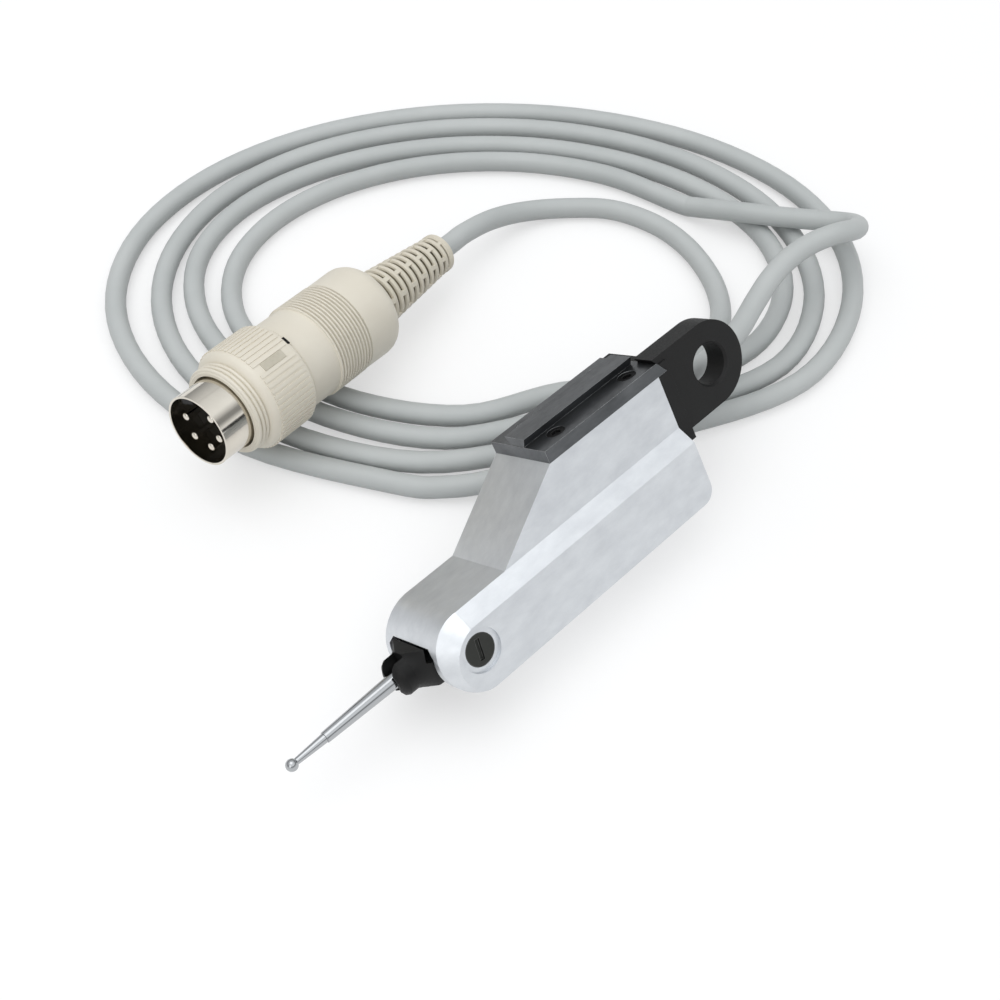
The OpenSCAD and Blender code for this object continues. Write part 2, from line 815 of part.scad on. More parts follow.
// Small circuit board on two stand-offs where the cable's wires end
module terminal_board() {
    board_at = former_at + 1;
    board_z = floor_t + flange_w + board_lift;
    color(board_green)
        leaned()
            difference() {
                union() {
                    translate([board_at, -cavity_w / 2 + board_side_gap, board_z])
                        cube([board_l, cavity_w - 2 * board_side_gap, board_t]);
                    for (x = [board_post_inset, board_l - board_post_inset])
                        translate([board_at + x, 0, board_z - board_lift + 0.02])
                            cylinder(h = board_lift, d = board_post_d, $fn = small_fn);
                }
                for (i = [0 : 4])
                    translate([board_at + pad_inset + pad_pitch * i, -cavity_w / 2 + 1.6, board_z - overcut])
                        cylinder(h = board_t + 2 * overcut, d = pad_d, $fn = small_fn);
            }
}

// Sector of a circle between two angles
module sector(radius, from, to) {
    intersection() {
        circle(radius);
        polygon([[0, 0], for (a = [from, (from + to) / 2, to]) 2 * radius * [cos(a), sin(a)]]);
    }
}

// Side space (x, z) that the boss may fill: outside the nose, and between the flush front's two angles
module boss_space() {
    translate([0, nose_r]) {
        difference() {
            translate([-boss_front - overcut, -boss_flat])
                square([boss_front + overcut - boss_back / 2, 2 * boss_flat]);
            circle(boss_back);
        }
        intersection() {
            translate([-boss_front - overcut, -boss_flat])
                square([boss_front + overcut, 2 * boss_flat]);
            sector(boss_back + 1, flush_from + flush_inset, flush_to - flush_inset);
        }
    }
}

// Flared boss turned about the stylus's axis and milled flat above and below
module holder_boss() {
    intersection() {
        translate([0, 0, nose_r])
            rotate([0, -90, 0])
                rotate_extrude()
                    polygon([for (p = boss_profile) [p[1], p[0]]]);
        across_width(drum_w)
            boss_space();
    }
}

// Drum with its flush front and boss, which grips the stylus and turns stiffly on the pivot shaft
module stylus_holder() {
    slot_half = shank_d / 2 + seat_gap;
    color(matte_black)
        leaned()
            difference() {
                union() {
                    pin_y(0, nose_r, -drum_w / 2, drum_w / 2, drum_r);
                    across_width(drum_w)
                        translate([0, nose_r])
                            sector(flush_r, flush_from, flush_to);
                    holder_boss();
                }
                pin_y(0, nose_r, -groove_w / 2, groove_w / 2, groove_r);
                holder_groove_cut();
                pin_y(0, nose_r, -drum_w, drum_w, shaft_d / 2 + running_gap);
                rod_x(-boss_front - overcut, -boss_front + grip_depth, 0, nose_r, spigot_d / 2 + seat_gap,
                    spigot_d / 2 + seat_gap);
                translate([-boss_front - overcut, -slot_half, nose_r - boss_r - overcut])
                    cube([overcut + boss_slot_l, 2 * slot_half, 2 * boss_r + 2 * overcut]);
            }
}

// Open sector of the drum's groove, through which the arm passes
module holder_groove_cut() {
    reach = 2 * drum_r;
    across_width(groove_w)
        translate([0, nose_r])
            polygon(concat([[0, 0]],
                [for (a = [groove_from : groove_step : groove_to]) [reach * cos(a), reach * sin(a)]]));
}

// Tapered shank with its spigot in the holder
module stylus_shank() {
    color(steel)
        leaned()
            difference() {
                union() {
                    rod_x(-shoulder_at, shank_root, 0, nose_r, shoulder_d / 2, shank_d / 2);
                    rod_x(shank_root - 0.1, -boss_front + grip_depth - 0.1, 0, nose_r,
                        spigot_d / 2, spigot_d / 2);
                }
                rod_x(-shoulder_at - overcut, -shoulder_at + tip_spigot_l, 0, nose_r,
                    tip_spigot_d / 2 + seat_gap, tip_spigot_d / 2 + seat_gap);
            }
}

// Thin tip rod between the shoulder and the ball
module stylus_tip() {
    color(steel)
        leaned() {
            rod_x(-ball_at + ball_seat + 0.25, -shoulder_at - seat_gap, 0, nose_r,
                tip_end_d / 2, tip_root_d / 2);
            rod_x(-shoulder_at - 0.1, -shoulder_at + tip_spigot_l - 0.1, 0, nose_r,
                tip_spigot_d / 2, tip_spigot_d / 2);
        }
}

// Hard contact ball with the seat of the tip rod
module contact_ball() {
    color(steel)
        leaned()
            difference() {
                translate([-ball_at, 0, nose_r])
                    rotate([0, 90, 0])
                        sphere(d = ball_d, $fn = small_fn);
                rod_x(-ball_at + ball_seat, -ball_at + ball_d, 0, nose_r, tip_end_d / 2 + seat_gap,
                    tip_end_d / 2 + seat_gap);
            }
}

// Bushing that leads the cable through the bracket's base plate
module cable_gland() {
    color(matte_black)
        leaned()
            difference() {
                union() {
                    rod_x(base_rear, base_rear + gland_l - 1, gland_y, gland_z, gland_r, gland_r);
                    rod_x(base_rear + gland_l - 1, base_rear + gland_l, gland_y, gland_z,
                        gland_r, gland_r - 0.5);
                    rod_x(body_l + 0.2, base_rear + 0.1, gland_y, gland_z, gland_r - 0.6 - seat_gap,
                        gland_r - 0.6 - seat_gap);
                }
                rod_x(base_rear + 0.5, base_rear + gland_l + overcut, gland_y, gland_z, cable_r + cable_gap,
                    cable_r + cable_gap);
            }
}

// Clamp that holds the cable's inner end on the cavity's rear wall
module cable_clamp() {
    clamp_x = body_l - floor_t - clamp_t;
    color(steel)
        leaned()
            difference() {
                translate([clamp_x, gland_y - clamp_w / 2 - 0.2, cavity_top - clamp_drop])
                    cube([clamp_t, clamp_w, clamp_h]);
                rod_x(clamp_x - overcut, clamp_x + clamp_t + overcut, gland_y - 0.2, gland_z - 2,
                    clamp_bore_r, clamp_bore_r);
            }
}

// Cable between the gland and the coil
module cord_lead() {
    color(cable_grey)
        swept(smoothed(lead_route), cable_r, cable_sides);
}

// Flat oval of coiled cable as one solid
module cord_coil() {
    angles = [for (a = [0 : coil_step : 360 - coil_step]) a];
    color(cable_grey)
        translate([coil_at.x, coil_at.y, 0])
            rotate([0, 0, coil_turn])
                linear_extrude(coil_h)
                    difference() {
                        polygon([for (a = angles) oval(1, coil_margin, a)]);
                        polygon([for (a = angles) oval(coil_inner_share, -coil_margin, a)]);
                    }
}

// Cable between the coil and the plug
module cord_tail() {
    color(cable_grey)
        swept(smoothed(tail_route), cable_r, cable_sides);
}

// Round solid along the plug's axis from a list of (distance, radius) pairs
module turned(profile) {
    rotate([0, 90, 0])
        rotate([0, 0, 90])
            rotate_extrude()
                polygon([for (p = profile) [p[1], p[0]]]);
}

// Thin metal shell with its open mouth, seam and key groove
module plug_shell() {
    color(nickel)
        at_plug()
            difference() {
                rod_x(0, shell_end, 0, 0, shell_d / 2, shell_d / 2);
                rod_x(-overcut, shell_end + overcut, 0, 0,
                    shell_d / 2 - shell_wall, shell_d / 2 - shell_wall);
                translate([-overcut, -0.06, -shell_d / 2 - overcut])
                    cube([shell_out + overcut, 0.12, 2]);
            }
}

// Black insulator that carries the pins
module plug_insert() {
    key_w = 2.6;
    color(matte_black)
        at_plug()
            difference() {
                union() {
                    rod_x(insert_recess, ring_end + 1, 0, 0, shell_d / 2 - shell_wall - seat_gap,
                        shell_d / 2 - shell_wall - seat_gap);
                    translate([0.5, -key_w / 2, shell_d / 2 - shell_wall - 1.3])
                        cube([insert_recess, key_w, 1]);
                }
                for (i = [0 : pin_count - 1])
                    rotate([pin_angle(i), 0, 0])
                        rod_x(insert_recess - overcut, ring_end - 2, 0, -pin_circle_d / 2,
                            pin_d / 2 + seat_gap, pin_d / 2 + seat_gap);
            }
}

// Angle of a pin from the middle one, opposite the key
function pin_angle(i) = (i - (pin_count - 1) / 2) * pin_spread;

// Five round pins with domed ends
module plug_pins() {
    color(nickel)
        at_plug()
            for (i = [0 : pin_count - 1])
                rotate([pin_angle(i), 0, 0]) {
                    rod_x(pin_recess + 0.3, ring_end - 2.1, 0, -pin_circle_d / 2, pin_d / 2, pin_d / 2);
                    rod_x(pin_recess, pin_recess + 0.3, 0, -pin_circle_d / 2, pin_d / 2 - 0.25, pin_d / 2);
                }
}

// Coupling ring: threaded nose, ribbed grip and a locking window
module plug_coupling_ring() {
    nose_end = shell_out + ring_nose_l;
    color(ivory)
        at_plug()
            difference() {
                turned(concat([[shell_out, 0], [shell_out, ring_nose_d / 2 - 0.6]],
                    [for (i = [0 : nose_ridges - 1])
                        for (p = [[0.1, -0.5], [0.45, 0], [0.8, -0.5]])
                            [shell_out + ring_nose_l * (i + p[0]) / nose_ridges, ring_nose_d / 2 + p[1]]],
                    [[nose_end, ring_nose_d / 2 - 0.4], [nose_end + 0.3, ring_d / 2 - 1],
                        [nose_end + 1.2, ring_d / 2 - 0.2], [nose_end + 2, ring_d / 2],
                        [ring_end - 0.8, ring_d / 2], [ring_end, ring_d / 2 - 0.6], [ring_end, 0]]));
                rod_x(shell_out - overcut, ring_end + overcut, 0, 0, core_tube_r + ring_bore_gap,
                    core_tube_r + ring_bore_gap);
                for (i = [0 : knurl_count - 1])
                    rotate([360 * i / knurl_count, 0, 0])
                        translate([knurl_from, -0.2, ring_d / 2 - 0.25])
                            cube([knurl_to - knurl_from, 0.4, overcut]);
                rotate([-12, 0, 0])
                    translate([knurl_from + 1, -window_w / 2, ring_d / 2 - 0.7])
                        cube([window_l, window_w, overcut]);
            }
}

// Plug body: inner tube under the ring, smooth neck and grooved grip
module plug_body() {
    core_from = ring_end - 1.5;
    color(ivory)
        at_plug()
            difference() {
                turned(concat(
                    [[core_from, 0], [core_from, core_tube_r], [ring_end + 0.15, core_tube_r],
                        [ring_end + 0.15, plug_d / 2 - 0.8], [ring_end + 0.7, plug_d / 2 - 0.3],
                        [neck_end, plug_d / 2 - 0.3]],
                    [for (i = [0 : grip_grooves - 1])
                        for (p = [[0.08, 0.1], [0.5, 0.1], [0.6, -0.45], [0.85, -0.45]])
                            [neck_end + plug_grip_l * (i + p[0]) / grip_grooves, plug_d / 2 + p[1]]],
                    [[grip_end, plug_d / 2], [grip_end, 0]]));
                rod_x(core_from - overcut, shell_end + 0.05, 0, 0,
                    shell_d / 2 + seat_gap, shell_d / 2 + seat_gap);
                rod_x(ring_end + 1, grip_end + overcut, 0, 0, plug_bore_r, plug_bore_r);
                rotate([-24, 0, 0])
                    translate([ring_end - 0.5, -0.8, plug_d / 2 - 1])
                        cube([1.8, 1.6, 2]);
            }
}

// Rounded rear hood that closes the plug
module plug_hood() {
    hood_r = plug_d / 2 + 0.1;
    color(ivory)
        at_plug()
            difference() {
                turned(concat(
                    [[grip_end + seat_gap, 0], [grip_end + seat_gap, plug_d / 2],
                        [hood_end - hood_shoulder, hood_r]],
                    [for (a = [15 : 15 : 90])
                        [hood_end - hood_shoulder * (1 - sin(a)), hood_r - hood_shoulder * (1 - cos(a))]],
                    [[hood_end, 0]]));
                rod_x(grip_end - overcut, hood_end - 2.4, 0, 0, hood_bore_r, hood_bore_r);
                rod_x(hood_end - 3, hood_end + overcut, 0, 0, boot_lip_r + seat_gap, boot_lip_r + seat_gap);
            }
}

// Flexible boot with staggered slots, and the end of the cable in its bore
module plug_boot() {
    color(ivory)
        at_plug()
            difference() {
                union() {
                    rod_x(hood_end + seat_gap, boot_end, 0, 0, boot_front_r, boot_rear_r);
                    rod_x(hood_end - 3.6, hood_end + 0.1, 0, 0, boot_lip_r, boot_lip_r);
                    rod_x(hood_end - 4.6, hood_end - 3.5, 0, 0, boot_front_r - 0.2, boot_front_r - 0.2);
                }
                rod_x(boot_end - 3, boot_end + overcut, 0, 0, cable_r + cable_gap, cable_r + cable_gap);
                for (i = [0 : boot_rows - 1])
                    for (k = [0 : 2])
                        rotate([120 * k + (i % 2) * 60, 0, 0])
                            translate([hood_end + 1.5 + slot_row_l * i, -2.6,
                                    boot_rear_r - 1.3 + 0.1 * (boot_rows - i)])
                                cube([slot_row_l * 0.45, 5.2, 4]);
            }
}

housing();
dovetail_rail();
rail_screws();
rear_bracket();
bracket_screws();
bearing_screw_near();
bearing_screw_far();
bearings();
pivot_shaft();
lever_arm();
friction_washers();
core_rod();
coil_former();
coil_windings();
return_spring();
terminal_board();
stylus_holder();
stylus_shank();
stylus_tip();
contact_ball();
cable_gland();
cable_clamp();
cord_lead();
cord_coil();
cord_tail();
plug_shell();
plug_insert();
plug_pins();
plug_coupling_ring();
plug_body();
plug_hood();
plug_boot();
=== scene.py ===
import json
import logging
import math
from dataclasses import dataclass, field
from enum import Enum

import bmesh
import bpy
from mathutils import Matrix, Vector


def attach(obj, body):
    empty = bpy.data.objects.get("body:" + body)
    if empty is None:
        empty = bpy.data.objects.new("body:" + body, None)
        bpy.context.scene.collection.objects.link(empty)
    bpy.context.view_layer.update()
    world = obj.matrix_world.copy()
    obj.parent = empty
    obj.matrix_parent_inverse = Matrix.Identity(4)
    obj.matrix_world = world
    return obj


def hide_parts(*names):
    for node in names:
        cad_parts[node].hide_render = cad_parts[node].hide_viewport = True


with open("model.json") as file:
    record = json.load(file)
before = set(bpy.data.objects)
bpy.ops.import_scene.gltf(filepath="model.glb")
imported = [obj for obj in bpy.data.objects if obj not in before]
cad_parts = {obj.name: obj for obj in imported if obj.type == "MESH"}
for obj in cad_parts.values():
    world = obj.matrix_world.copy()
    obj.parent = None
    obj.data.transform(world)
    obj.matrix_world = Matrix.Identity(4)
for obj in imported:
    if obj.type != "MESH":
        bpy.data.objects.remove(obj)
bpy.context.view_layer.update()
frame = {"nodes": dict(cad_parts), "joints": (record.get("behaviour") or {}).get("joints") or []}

log = logging.getLogger("gauge_head")
MM = 0.001
IMAGE_SIDE_PX = 1000
MERGE_DISTANCE = 0.002 * MM
FLAT_WITHIN = math.radians(0.4)
BROKEN_EDGE_ANGLE = math.radians(28)
TURNED_EDGE_ANGLE = math.radians(30)
RECIPE_EDGE_ANGLE = math.radians(35)
# The material slot that marks broken edges until they are written to an attribute.
EDGE_SLOT = 1
# Places of the joints in the frame's list.
LEVER_JOINT = 0
RING_JOINT = 2

Colour = tuple[float, float, float, float]
Triple = tuple[float, float, float]
Span = tuple[float, float]
FULL_SPAN: Span = (0.0, 1.0)


def srgb(red: int, green: int, blue: int) -> Colour:
    """Turns an 8-bit display colour into the linear colour that shaders take.

    Args:
        red: Red channel, 0 to 255.
        green: Green channel, 0 to 255.
        blue: Blue channel, 0 to 255.

    Returns:
        Linear red, green, blue and an alpha of one.
    """
    linear = []
    for channel in (red, green, blue):
        share = channel / 255
        linear.append(share / 12.92 if share <= 0.04045 else ((share + 0.055) / 1.055) ** 2.4)
    return linear[0], linear[1], linear[2], 1.0


# Node helpers


class MixKind(Enum):
    """What a mix node blends."""

    COLOUR = "RGBA"
    NUMBER = "FLOAT"


def feed(tree: bpy.types.NodeTree, node: bpy.types.Node, values: dict[object, object]) -> None:
    """Links inputs of a node to other nodes' sockets, or sets their plain values.

    Args:
        tree: The node tree.
        node: The node to feed.
        values: A socket or a plain value for each input's name or number.
    """
    for key, value in values.items():
        if isinstance(value, bpy.types.NodeSocket):
            tree.links.new(value, node.inputs[key])
        else:
            node.inputs[key].default_value = value


def maths(tree: bpy.types.NodeTree, operation: str, first: object, second: object = 0.0,
          clamp: bool = False) -> bpy.types.NodeSocket:
    """Adds a maths node.

    Args:
        tree: The node tree.
        operation: The operation's name.
        first: First value or socket.
        second: Second value or socket.
        clamp: Whether the result stays between zero and one.

    Returns:
        The node's output.
    """
    made = tree.nodes.new("ShaderNodeMath")
    made.operation = operation
    made.use_clamp = clamp
    feed(tree, made, {0: first, 1: second})
    return made.outputs[0]


def ramp(tree: bpy.types.NodeTree, value: bpy.types.NodeSocket, given: Span,
         wanted: Span) -> bpy.types.NodeSocket:
    """Maps one range of a value to another.

    Args:
        tree: The node tree.
        value: The socket to map.
        given: Its range.
        wanted: The range to put out.

    Returns:
        The mapped socket.
    """
    made = tree.nodes.new("ShaderNodeMapRange")
    feed(tree, made, {"Value": value, "From Min": given[0], "From Max": given[1],
                      "To Min": wanted[0], "To Max": wanted[1]})
    return made.outputs["Result"]


def mix(tree: bpy.types.NodeTree, kind: MixKind, first: object, second: object,
        share: bpy.types.NodeSocket) -> bpy.types.NodeSocket:
    """Mixes two colours or numbers.

    Args:
        tree: The node tree.
        kind: What is mixed.
        first: Value or socket at a share of zero.
        second: Value or socket at a share of one.
        share: The second one's share.

    Returns:
        The mixed socket.
    """
    made = tree.nodes.new("ShaderNodeMix")
    made.data_type = kind.value
    feed(tree, made, {"A": first, "B": second, "Factor": share})
    return made.outputs["Result"]


def noise(tree: bpy.types.NodeTree, place: bpy.types.NodeSocket, scale: bpy.types.NodeSocket, detail: float,
          roughness: float = 0.5) -> bpy.types.NodeSocket:
    """Adds a noise texture.

    Args:
        tree: The node tree.
        place: Where the pattern is read.
        scale: Its scale in cycles per metre.
        detail: Number of finer layers.
        roughness: Strength of the finer layers.

    Returns:
        The grey value's socket.
    """
    made = tree.nodes.new("ShaderNodeTexNoise")
    feed(tree, made, {"Vector": place, "Scale": scale, "Detail": detail, "Roughness": roughness})
    return made.outputs["Fac"]


# Shader groups


class GroupKind(Enum):
    """Names of the shader groups that several finishes share."""

    VARIATION = "fine_variation"
    WEAR_AND_HIGHLIGHT = "edge_wear"


def start_group(kind: GroupKind, **inputs: str) -> tuple[bpy.types.ShaderNodeTree, bpy.types.NodeOutputs]:
    """Starts a shader group that puts out one mask.

    Args:
        kind: The group's kind.
        **inputs: Kind of socket by input name.

    Returns:
        The group's tree and the outputs of its input node.
    """
    tree = bpy.data.node_groups.new(kind.value, "ShaderNodeTree")
    for name, form in inputs.items():
        tree.interface.new_socket(name, in_out="INPUT", socket_type="NodeSocket" + form)
    tree.interface.new_socket("Mask", in_out="OUTPUT", socket_type="NodeSocketFloat")
    return tree, tree.nodes.new("NodeGroupInput").outputs


def variation_group() -> bpy.types.ShaderNodeTree:
    """Builds the group that gives a soft, stretched mottling between zero and one.

    Returns:
        The node group with inputs for place, scale, stretch and contrast.
    """
    if GroupKind.VARIATION.value in bpy.data.node_groups:
        return bpy.data.node_groups[GroupKind.VARIATION.value]
    tree, given = start_group(GroupKind.VARIATION, Place="Vector", Scale="Float", Stretch="Vector",
                              Contrast="Float")
    stretched = tree.nodes.new("ShaderNodeVectorMath")
    stretched.operation = "MULTIPLY"
    feed(tree, stretched, {0: given["Place"], 1: given["Stretch"]})
    grey = noise(tree, stretched.outputs["Vector"], given["Scale"], detail=4, roughness=0.6)
    middle = 0.5
    spread = maths(tree, "MULTIPLY", maths(tree, "SUBTRACT", grey, middle), given["Contrast"])
    feed(tree, tree.nodes.new("NodeGroupOutput"), {"Mask": maths(tree, "ADD", spread, middle, clamp=True)})
    return tree


def wear_and_highlight_group() -> bpy.types.ShaderNodeTree:
    """Builds the group that marks worn edges and their painted highlight, broken up by noise.

    Returns:
        The node group with inputs for the edge value, place, scale and amount.
    """
    if GroupKind.WEAR_AND_HIGHLIGHT.value in bpy.data.node_groups:
        return bpy.data.node_groups[GroupKind.WEAR_AND_HIGHLIGHT.value]
    tree, given = start_group(GroupKind.WEAR_AND_HIGHLIGHT, Edge="Float", Place="Vector", Scale="Float", Amount="Float")
    grey = noise(tree, given["Place"], given["Scale"], detail=3)
    grey_span, wear_and_highlight_span = (0.35, 0.65), (0.35, 1.0)
    broken = ramp(tree, grey, grey_span, wear_and_highlight_span)
    worn_and_highlit = maths(tree, "MULTIPLY", broken, given["Edge"])
    mask = maths(tree, "MULTIPLY", worn_and_highlit, given["Amount"], clamp=True)
    feed(tree, tree.nodes.new("NodeGroupOutput"), {"Mask": mask})
    return tree


@dataclass(frozen=True)
class Finish:
    """One surface finish: its two tones, its grain, and its edge wear with a painted edge highlight.

    Scales are in cycles per metre, and the grain's height is in metres.
    """

    name: str
    dark: Colour
    light: Colour
    metallic: float = 0.0
    rough_low: float = 0.4
    rough_high: float = 0.5
    tone_scale: float = 90.0
    tone_contrast: float = 1.6
    grain_scale: float = 2500.0
    grain_contrast: float = 2.2
    grain_height: float = 0.004 * MM
    grain_strength: float = 0.6
    stretch: Triple = (1.0, 1.0, 1.0)
    turn_x: float = 0.0
    wear_and_highlight: float = 0.0
    wear_and_highlight_scale: float = 900.0
    wear_and_highlight_colour: Colour = (0.8, 0.8, 0.8, 1.0)
    sheen: float = 0.0
    coat: float = 0.0
    coat_roughness: float = 0.15
    specular: float = 0.5

    def material(self) -> bpy.types.Material:
        """Builds the finish's material at the first call.

        Returns:
            The material, the same one at each call.
        """
        title = self.name + "_finish"
        if title in bpy.data.materials:
            return bpy.data.materials[title]
        material = bpy.data.materials.new(title)
        material.use_nodes = True
        tree = material.node_tree
        place = tree.nodes.new("ShaderNodeTexCoord")
        turned = tree.nodes.new("ShaderNodeMapping")
        feed(tree, turned, {"Vector": place.outputs["Object"], "Rotation": (self.turn_x, 0.0, 0.0)})
        at = turned.outputs["Vector"]
        tone = self._mask(tree, variation_group(), Place=at, Scale=self.tone_scale, Stretch=self.stretch,
                          Contrast=self.tone_contrast)
        grain = self._mask(tree, variation_group(), Place=at, Scale=self.grain_scale, Stretch=self.stretch,
                           Contrast=self.grain_contrast)
        colour = mix(tree, MixKind.COLOUR, self.dark, self.light, tone)
        # Edge wear and painted highlight: a lighter colour laid on the broken edges.
        if self.wear_and_highlight > 0:
            edge = tree.nodes.new("ShaderNodeAttribute")
            edge.attribute_name = "edge"
            worn_and_highlit = self._mask(tree, wear_and_highlight_group(), Edge=edge.outputs["Fac"], Place=at, Scale=self.wear_and_highlight_scale,
                              Amount=self.wear_and_highlight)
            colour = mix(tree, MixKind.COLOUR, colour, self.wear_and_highlight_colour, worn_and_highlit)
        bump = tree.nodes.new("ShaderNodeBump")
        feed(tree, bump, {"Strength": self.grain_strength, "Distance": self.grain_height, "Height": grain})
        feed(tree, tree.nodes["Principled BSDF"], {
            "Base Color": colour, "Metallic": self.metallic, "Specular IOR Level": self.specular,
            "Roughness": ramp(tree, grain, FULL_SPAN, (self.rough_low, self.rough_high)),
            "Sheen Weight": self.sheen, "Coat Weight": self.coat, "Coat Roughness": self.coat_roughness,
            "Normal": bump.outputs["Normal"]})
        return material

    @staticmethod
    def _mask(tree: bpy.types.ShaderNodeTree, group: bpy.types.ShaderNodeTree,
              **values: object) -> bpy.types.NodeSocket:
        """Places a shader group and feeds it.

        Args:
            tree: The material's tree.
            group: The group to place.
            **values: Input values or sockets by name.

        Returns:
            The group's mask.
        """
        placed = tree.nodes.new("ShaderNodeGroup")
        placed.node_tree = group
        feed(tree, placed, values)
        return placed.outputs["Mask"]


# The head leans about X, and its lever's joint gives the angle.
LEAN = math.acos(frame["joints"][LEVER_JOINT]["axis"][1])

SATIN_ALUMINIUM = Finish("satin_anodised_aluminium", srgb(206, 209, 213), srgb(226, 229, 232), metallic=0.85,
                         rough_low=0.32, rough_high=0.46, tone_scale=420, grain_scale=1800,
                         stretch=(0.5, 1.0, 1.0), turn_x=LEAN, grain_height=0.003 * MM)
# In this finish and the next three, the wear colour is edge wear and a painted highlight on the broken edges.
GROUND_GUNMETAL = Finish("ground_gunmetal", srgb(72, 74, 76), srgb(112, 114, 116), metallic=0.9,
                         rough_low=0.28, rough_high=0.44, tone_scale=260, grain_scale=2600,
                         stretch=(0.4, 1.0, 1.0), turn_x=LEAN, wear_and_highlight=1.0, wear_and_highlight_colour=srgb(186, 188, 188))
BLACK_ANODISED = Finish("black_anodised", srgb(17, 17, 17), srgb(29, 29, 29), specular=0.25, rough_low=0.42,
                        rough_high=0.6, grain_scale=3500, wear_and_highlight=0.6, wear_and_highlight_colour=srgb(84, 84, 84))
BLACK_OXIDE = Finish("black_oxide", srgb(11, 11, 11), srgb(21, 21, 21), specular=0.25, rough_low=0.38,
                     rough_high=0.55, grain_scale=4200, wear_and_highlight=0.3, wear_and_highlight_colour=srgb(80, 80, 80))
SCREW_GUNMETAL = Finish("turned_gunmetal", srgb(46, 47, 45), srgb(68, 69, 66), metallic=0.8, rough_low=0.3,
                        rough_high=0.5, grain_scale=3000, wear_and_highlight=0.4, wear_and_highlight_colour=srgb(140, 140, 138))
POLISHED_STEEL = Finish("polished_steel", srgb(166, 168, 170), srgb(186, 188, 190), metallic=1.0,
                        rough_low=0.08, rough_high=0.16, grain_scale=5000, grain_height=0.001 * MM,
                        stretch=(0.2, 1.0, 1.0), turn_x=LEAN)
BRIGHT_NICKEL = Finish("bright_nickel", srgb(206, 200, 189), srgb(222, 217, 206), metallic=1.0,
                       rough_low=0.06, rough_high=0.14, grain_scale=3000, grain_height=0.001 * MM)
IVORY_PLASTIC = Finish("ivory_plastic", srgb(218, 211, 195), srgb(229, 223, 209), rough_low=0.38,
                       rough_high=0.52, tone_scale=70, grain_scale=3800, grain_height=0.005 * MM)
IVORY_RUBBER = Finish("ivory_rubber", srgb(211, 203, 186), srgb(223, 217, 201), rough_low=0.5,
                      rough_high=0.65, tone_scale=70, grain_scale=3200, grain_height=0.006 * MM, sheen=0.05)
# Painted shade: a darker ivory for the boot's core, seen through the slots, and for the grip's groove
# bottoms.
PAINTED_SHADE_RUBBER = Finish("ivory_rubber_painted_shade", srgb(128, 121, 101), srgb(146, 139, 118), rough_low=0.55,
                       rough_high=0.7, tone_scale=70, grain_scale=3200, grain_height=0.006 * MM)
PALE_PANE = Finish("pale_pane", srgb(184, 178, 160), srgb(200, 194, 178), rough_low=0.25, rough_high=0.35,
                   tone_scale=900, grain_scale=3200)
BLACK_PLASTIC = Finish("black_plastic", srgb(10, 10, 11), srgb(17, 17, 18), rough_low=0.35, rough_high=0.5,
                       grain_scale=3000, specular=0.2)
GREY_SHEATH = Finish("grey_sheath", srgb(178, 182, 181), srgb(194, 197, 196), rough_low=0.42, rough_high=0.54,
                     tone_scale=45, grain_scale=2600, grain_height=0.006 * MM, sheen=0.04)
TURNED_BRASS = Finish("turned_brass", srgb(190, 160, 90), srgb(214, 184, 112), metallic=1.0, rough_low=0.2,
                      rough_high=0.32)
COPPER_WIRE = Finish("enamelled_copper", srgb(150, 84, 48), srgb(184, 110, 66), metallic=0.8, rough_low=0.25,
                     rough_high=0.4, grain_scale=6000, stretch=(6.0, 1.0, 1.0))
BOARD_LAMINATE = Finish("board_laminate", srgb(30, 84, 56), srgb(44, 104, 72), rough_low=0.3, rough_high=0.42,
                        coat=0.3)


# Places


def plug_place(roll: float, to_ring: float) -> Matrix:
    """Gives the plug's own frame: +X from the shell's rim to the cable, +Z towards the key.

    Args:
        roll: Turn about the plug's axis, in radians.
        to_ring: Distance from the rim to the ring joint's point, in metres.

    Returns:
        The matrix from the plug's frame to the row frame.
    """
    joint = frame["joints"][RING_JOINT]
    along_x = Vector(joint["axis"]).normalized()
    along_y = Vector((0, 0, 1)).cross(along_x).normalized()
    along_z = along_x.cross(along_y)
    turn = Matrix((along_x, along_y, along_z)).transposed().to_4x4()
    rim = Vector(joint["pos_m"]) - along_x * to_ring
    return Matrix.Translation(rim) @ turn @ Matrix.Rotation(-roll, 4, "X")


def shifted(x: float, z: float = 0.0) -> Matrix:
    """Returns the matrix of a move along X and Z, in metres."""
    return Matrix.Translation(Vector((x, 0, z)))


# Mesh helpers


def new_piece(name: str, mesh: bpy.types.Mesh, finish: Finish, body: str) -> bpy.types.Object:
    """Puts a mesh in the scene as a piece that rides on a body.

    Args:
        name: The piece's name.
        mesh: Its mesh, already in place in the row frame.
        finish: Its finish.
        body: The body that it rides on.

    Returns:
        The new object.
    """
    piece = bpy.data.objects.new(name, mesh)
    bpy.context.scene.collection.objects.link(piece)
    mesh.materials.clear()
    mesh.materials.append(finish.material())
    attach(piece, body)
    return piece


def evaluated_mesh(holder: bpy.types.Object, name: str) -> bpy.types.Mesh:
    """Turns an object with its modifiers into a plain mesh and removes the object.

    Args:
        holder: The object.
        name: The mesh's name.

    Returns:
        The plain mesh.
    """
    bpy.context.view_layer.update()
    graph = bpy.context.evaluated_depsgraph_get()
    mesh = bpy.data.meshes.new_from_object(holder.evaluated_get(graph))
    holder.modifiers.clear()
    bpy.data.objects.remove(holder)
    mesh.name = name
    return mesh


@dataclass(frozen=True)
class Dress:
    """How a CAD node is dressed: the piece's name and finish, a material slot's name, which is not used, and
    its broken edges' width.
    """

    node: str
    name: str
    finish: Finish
    slot: str
    edge: float


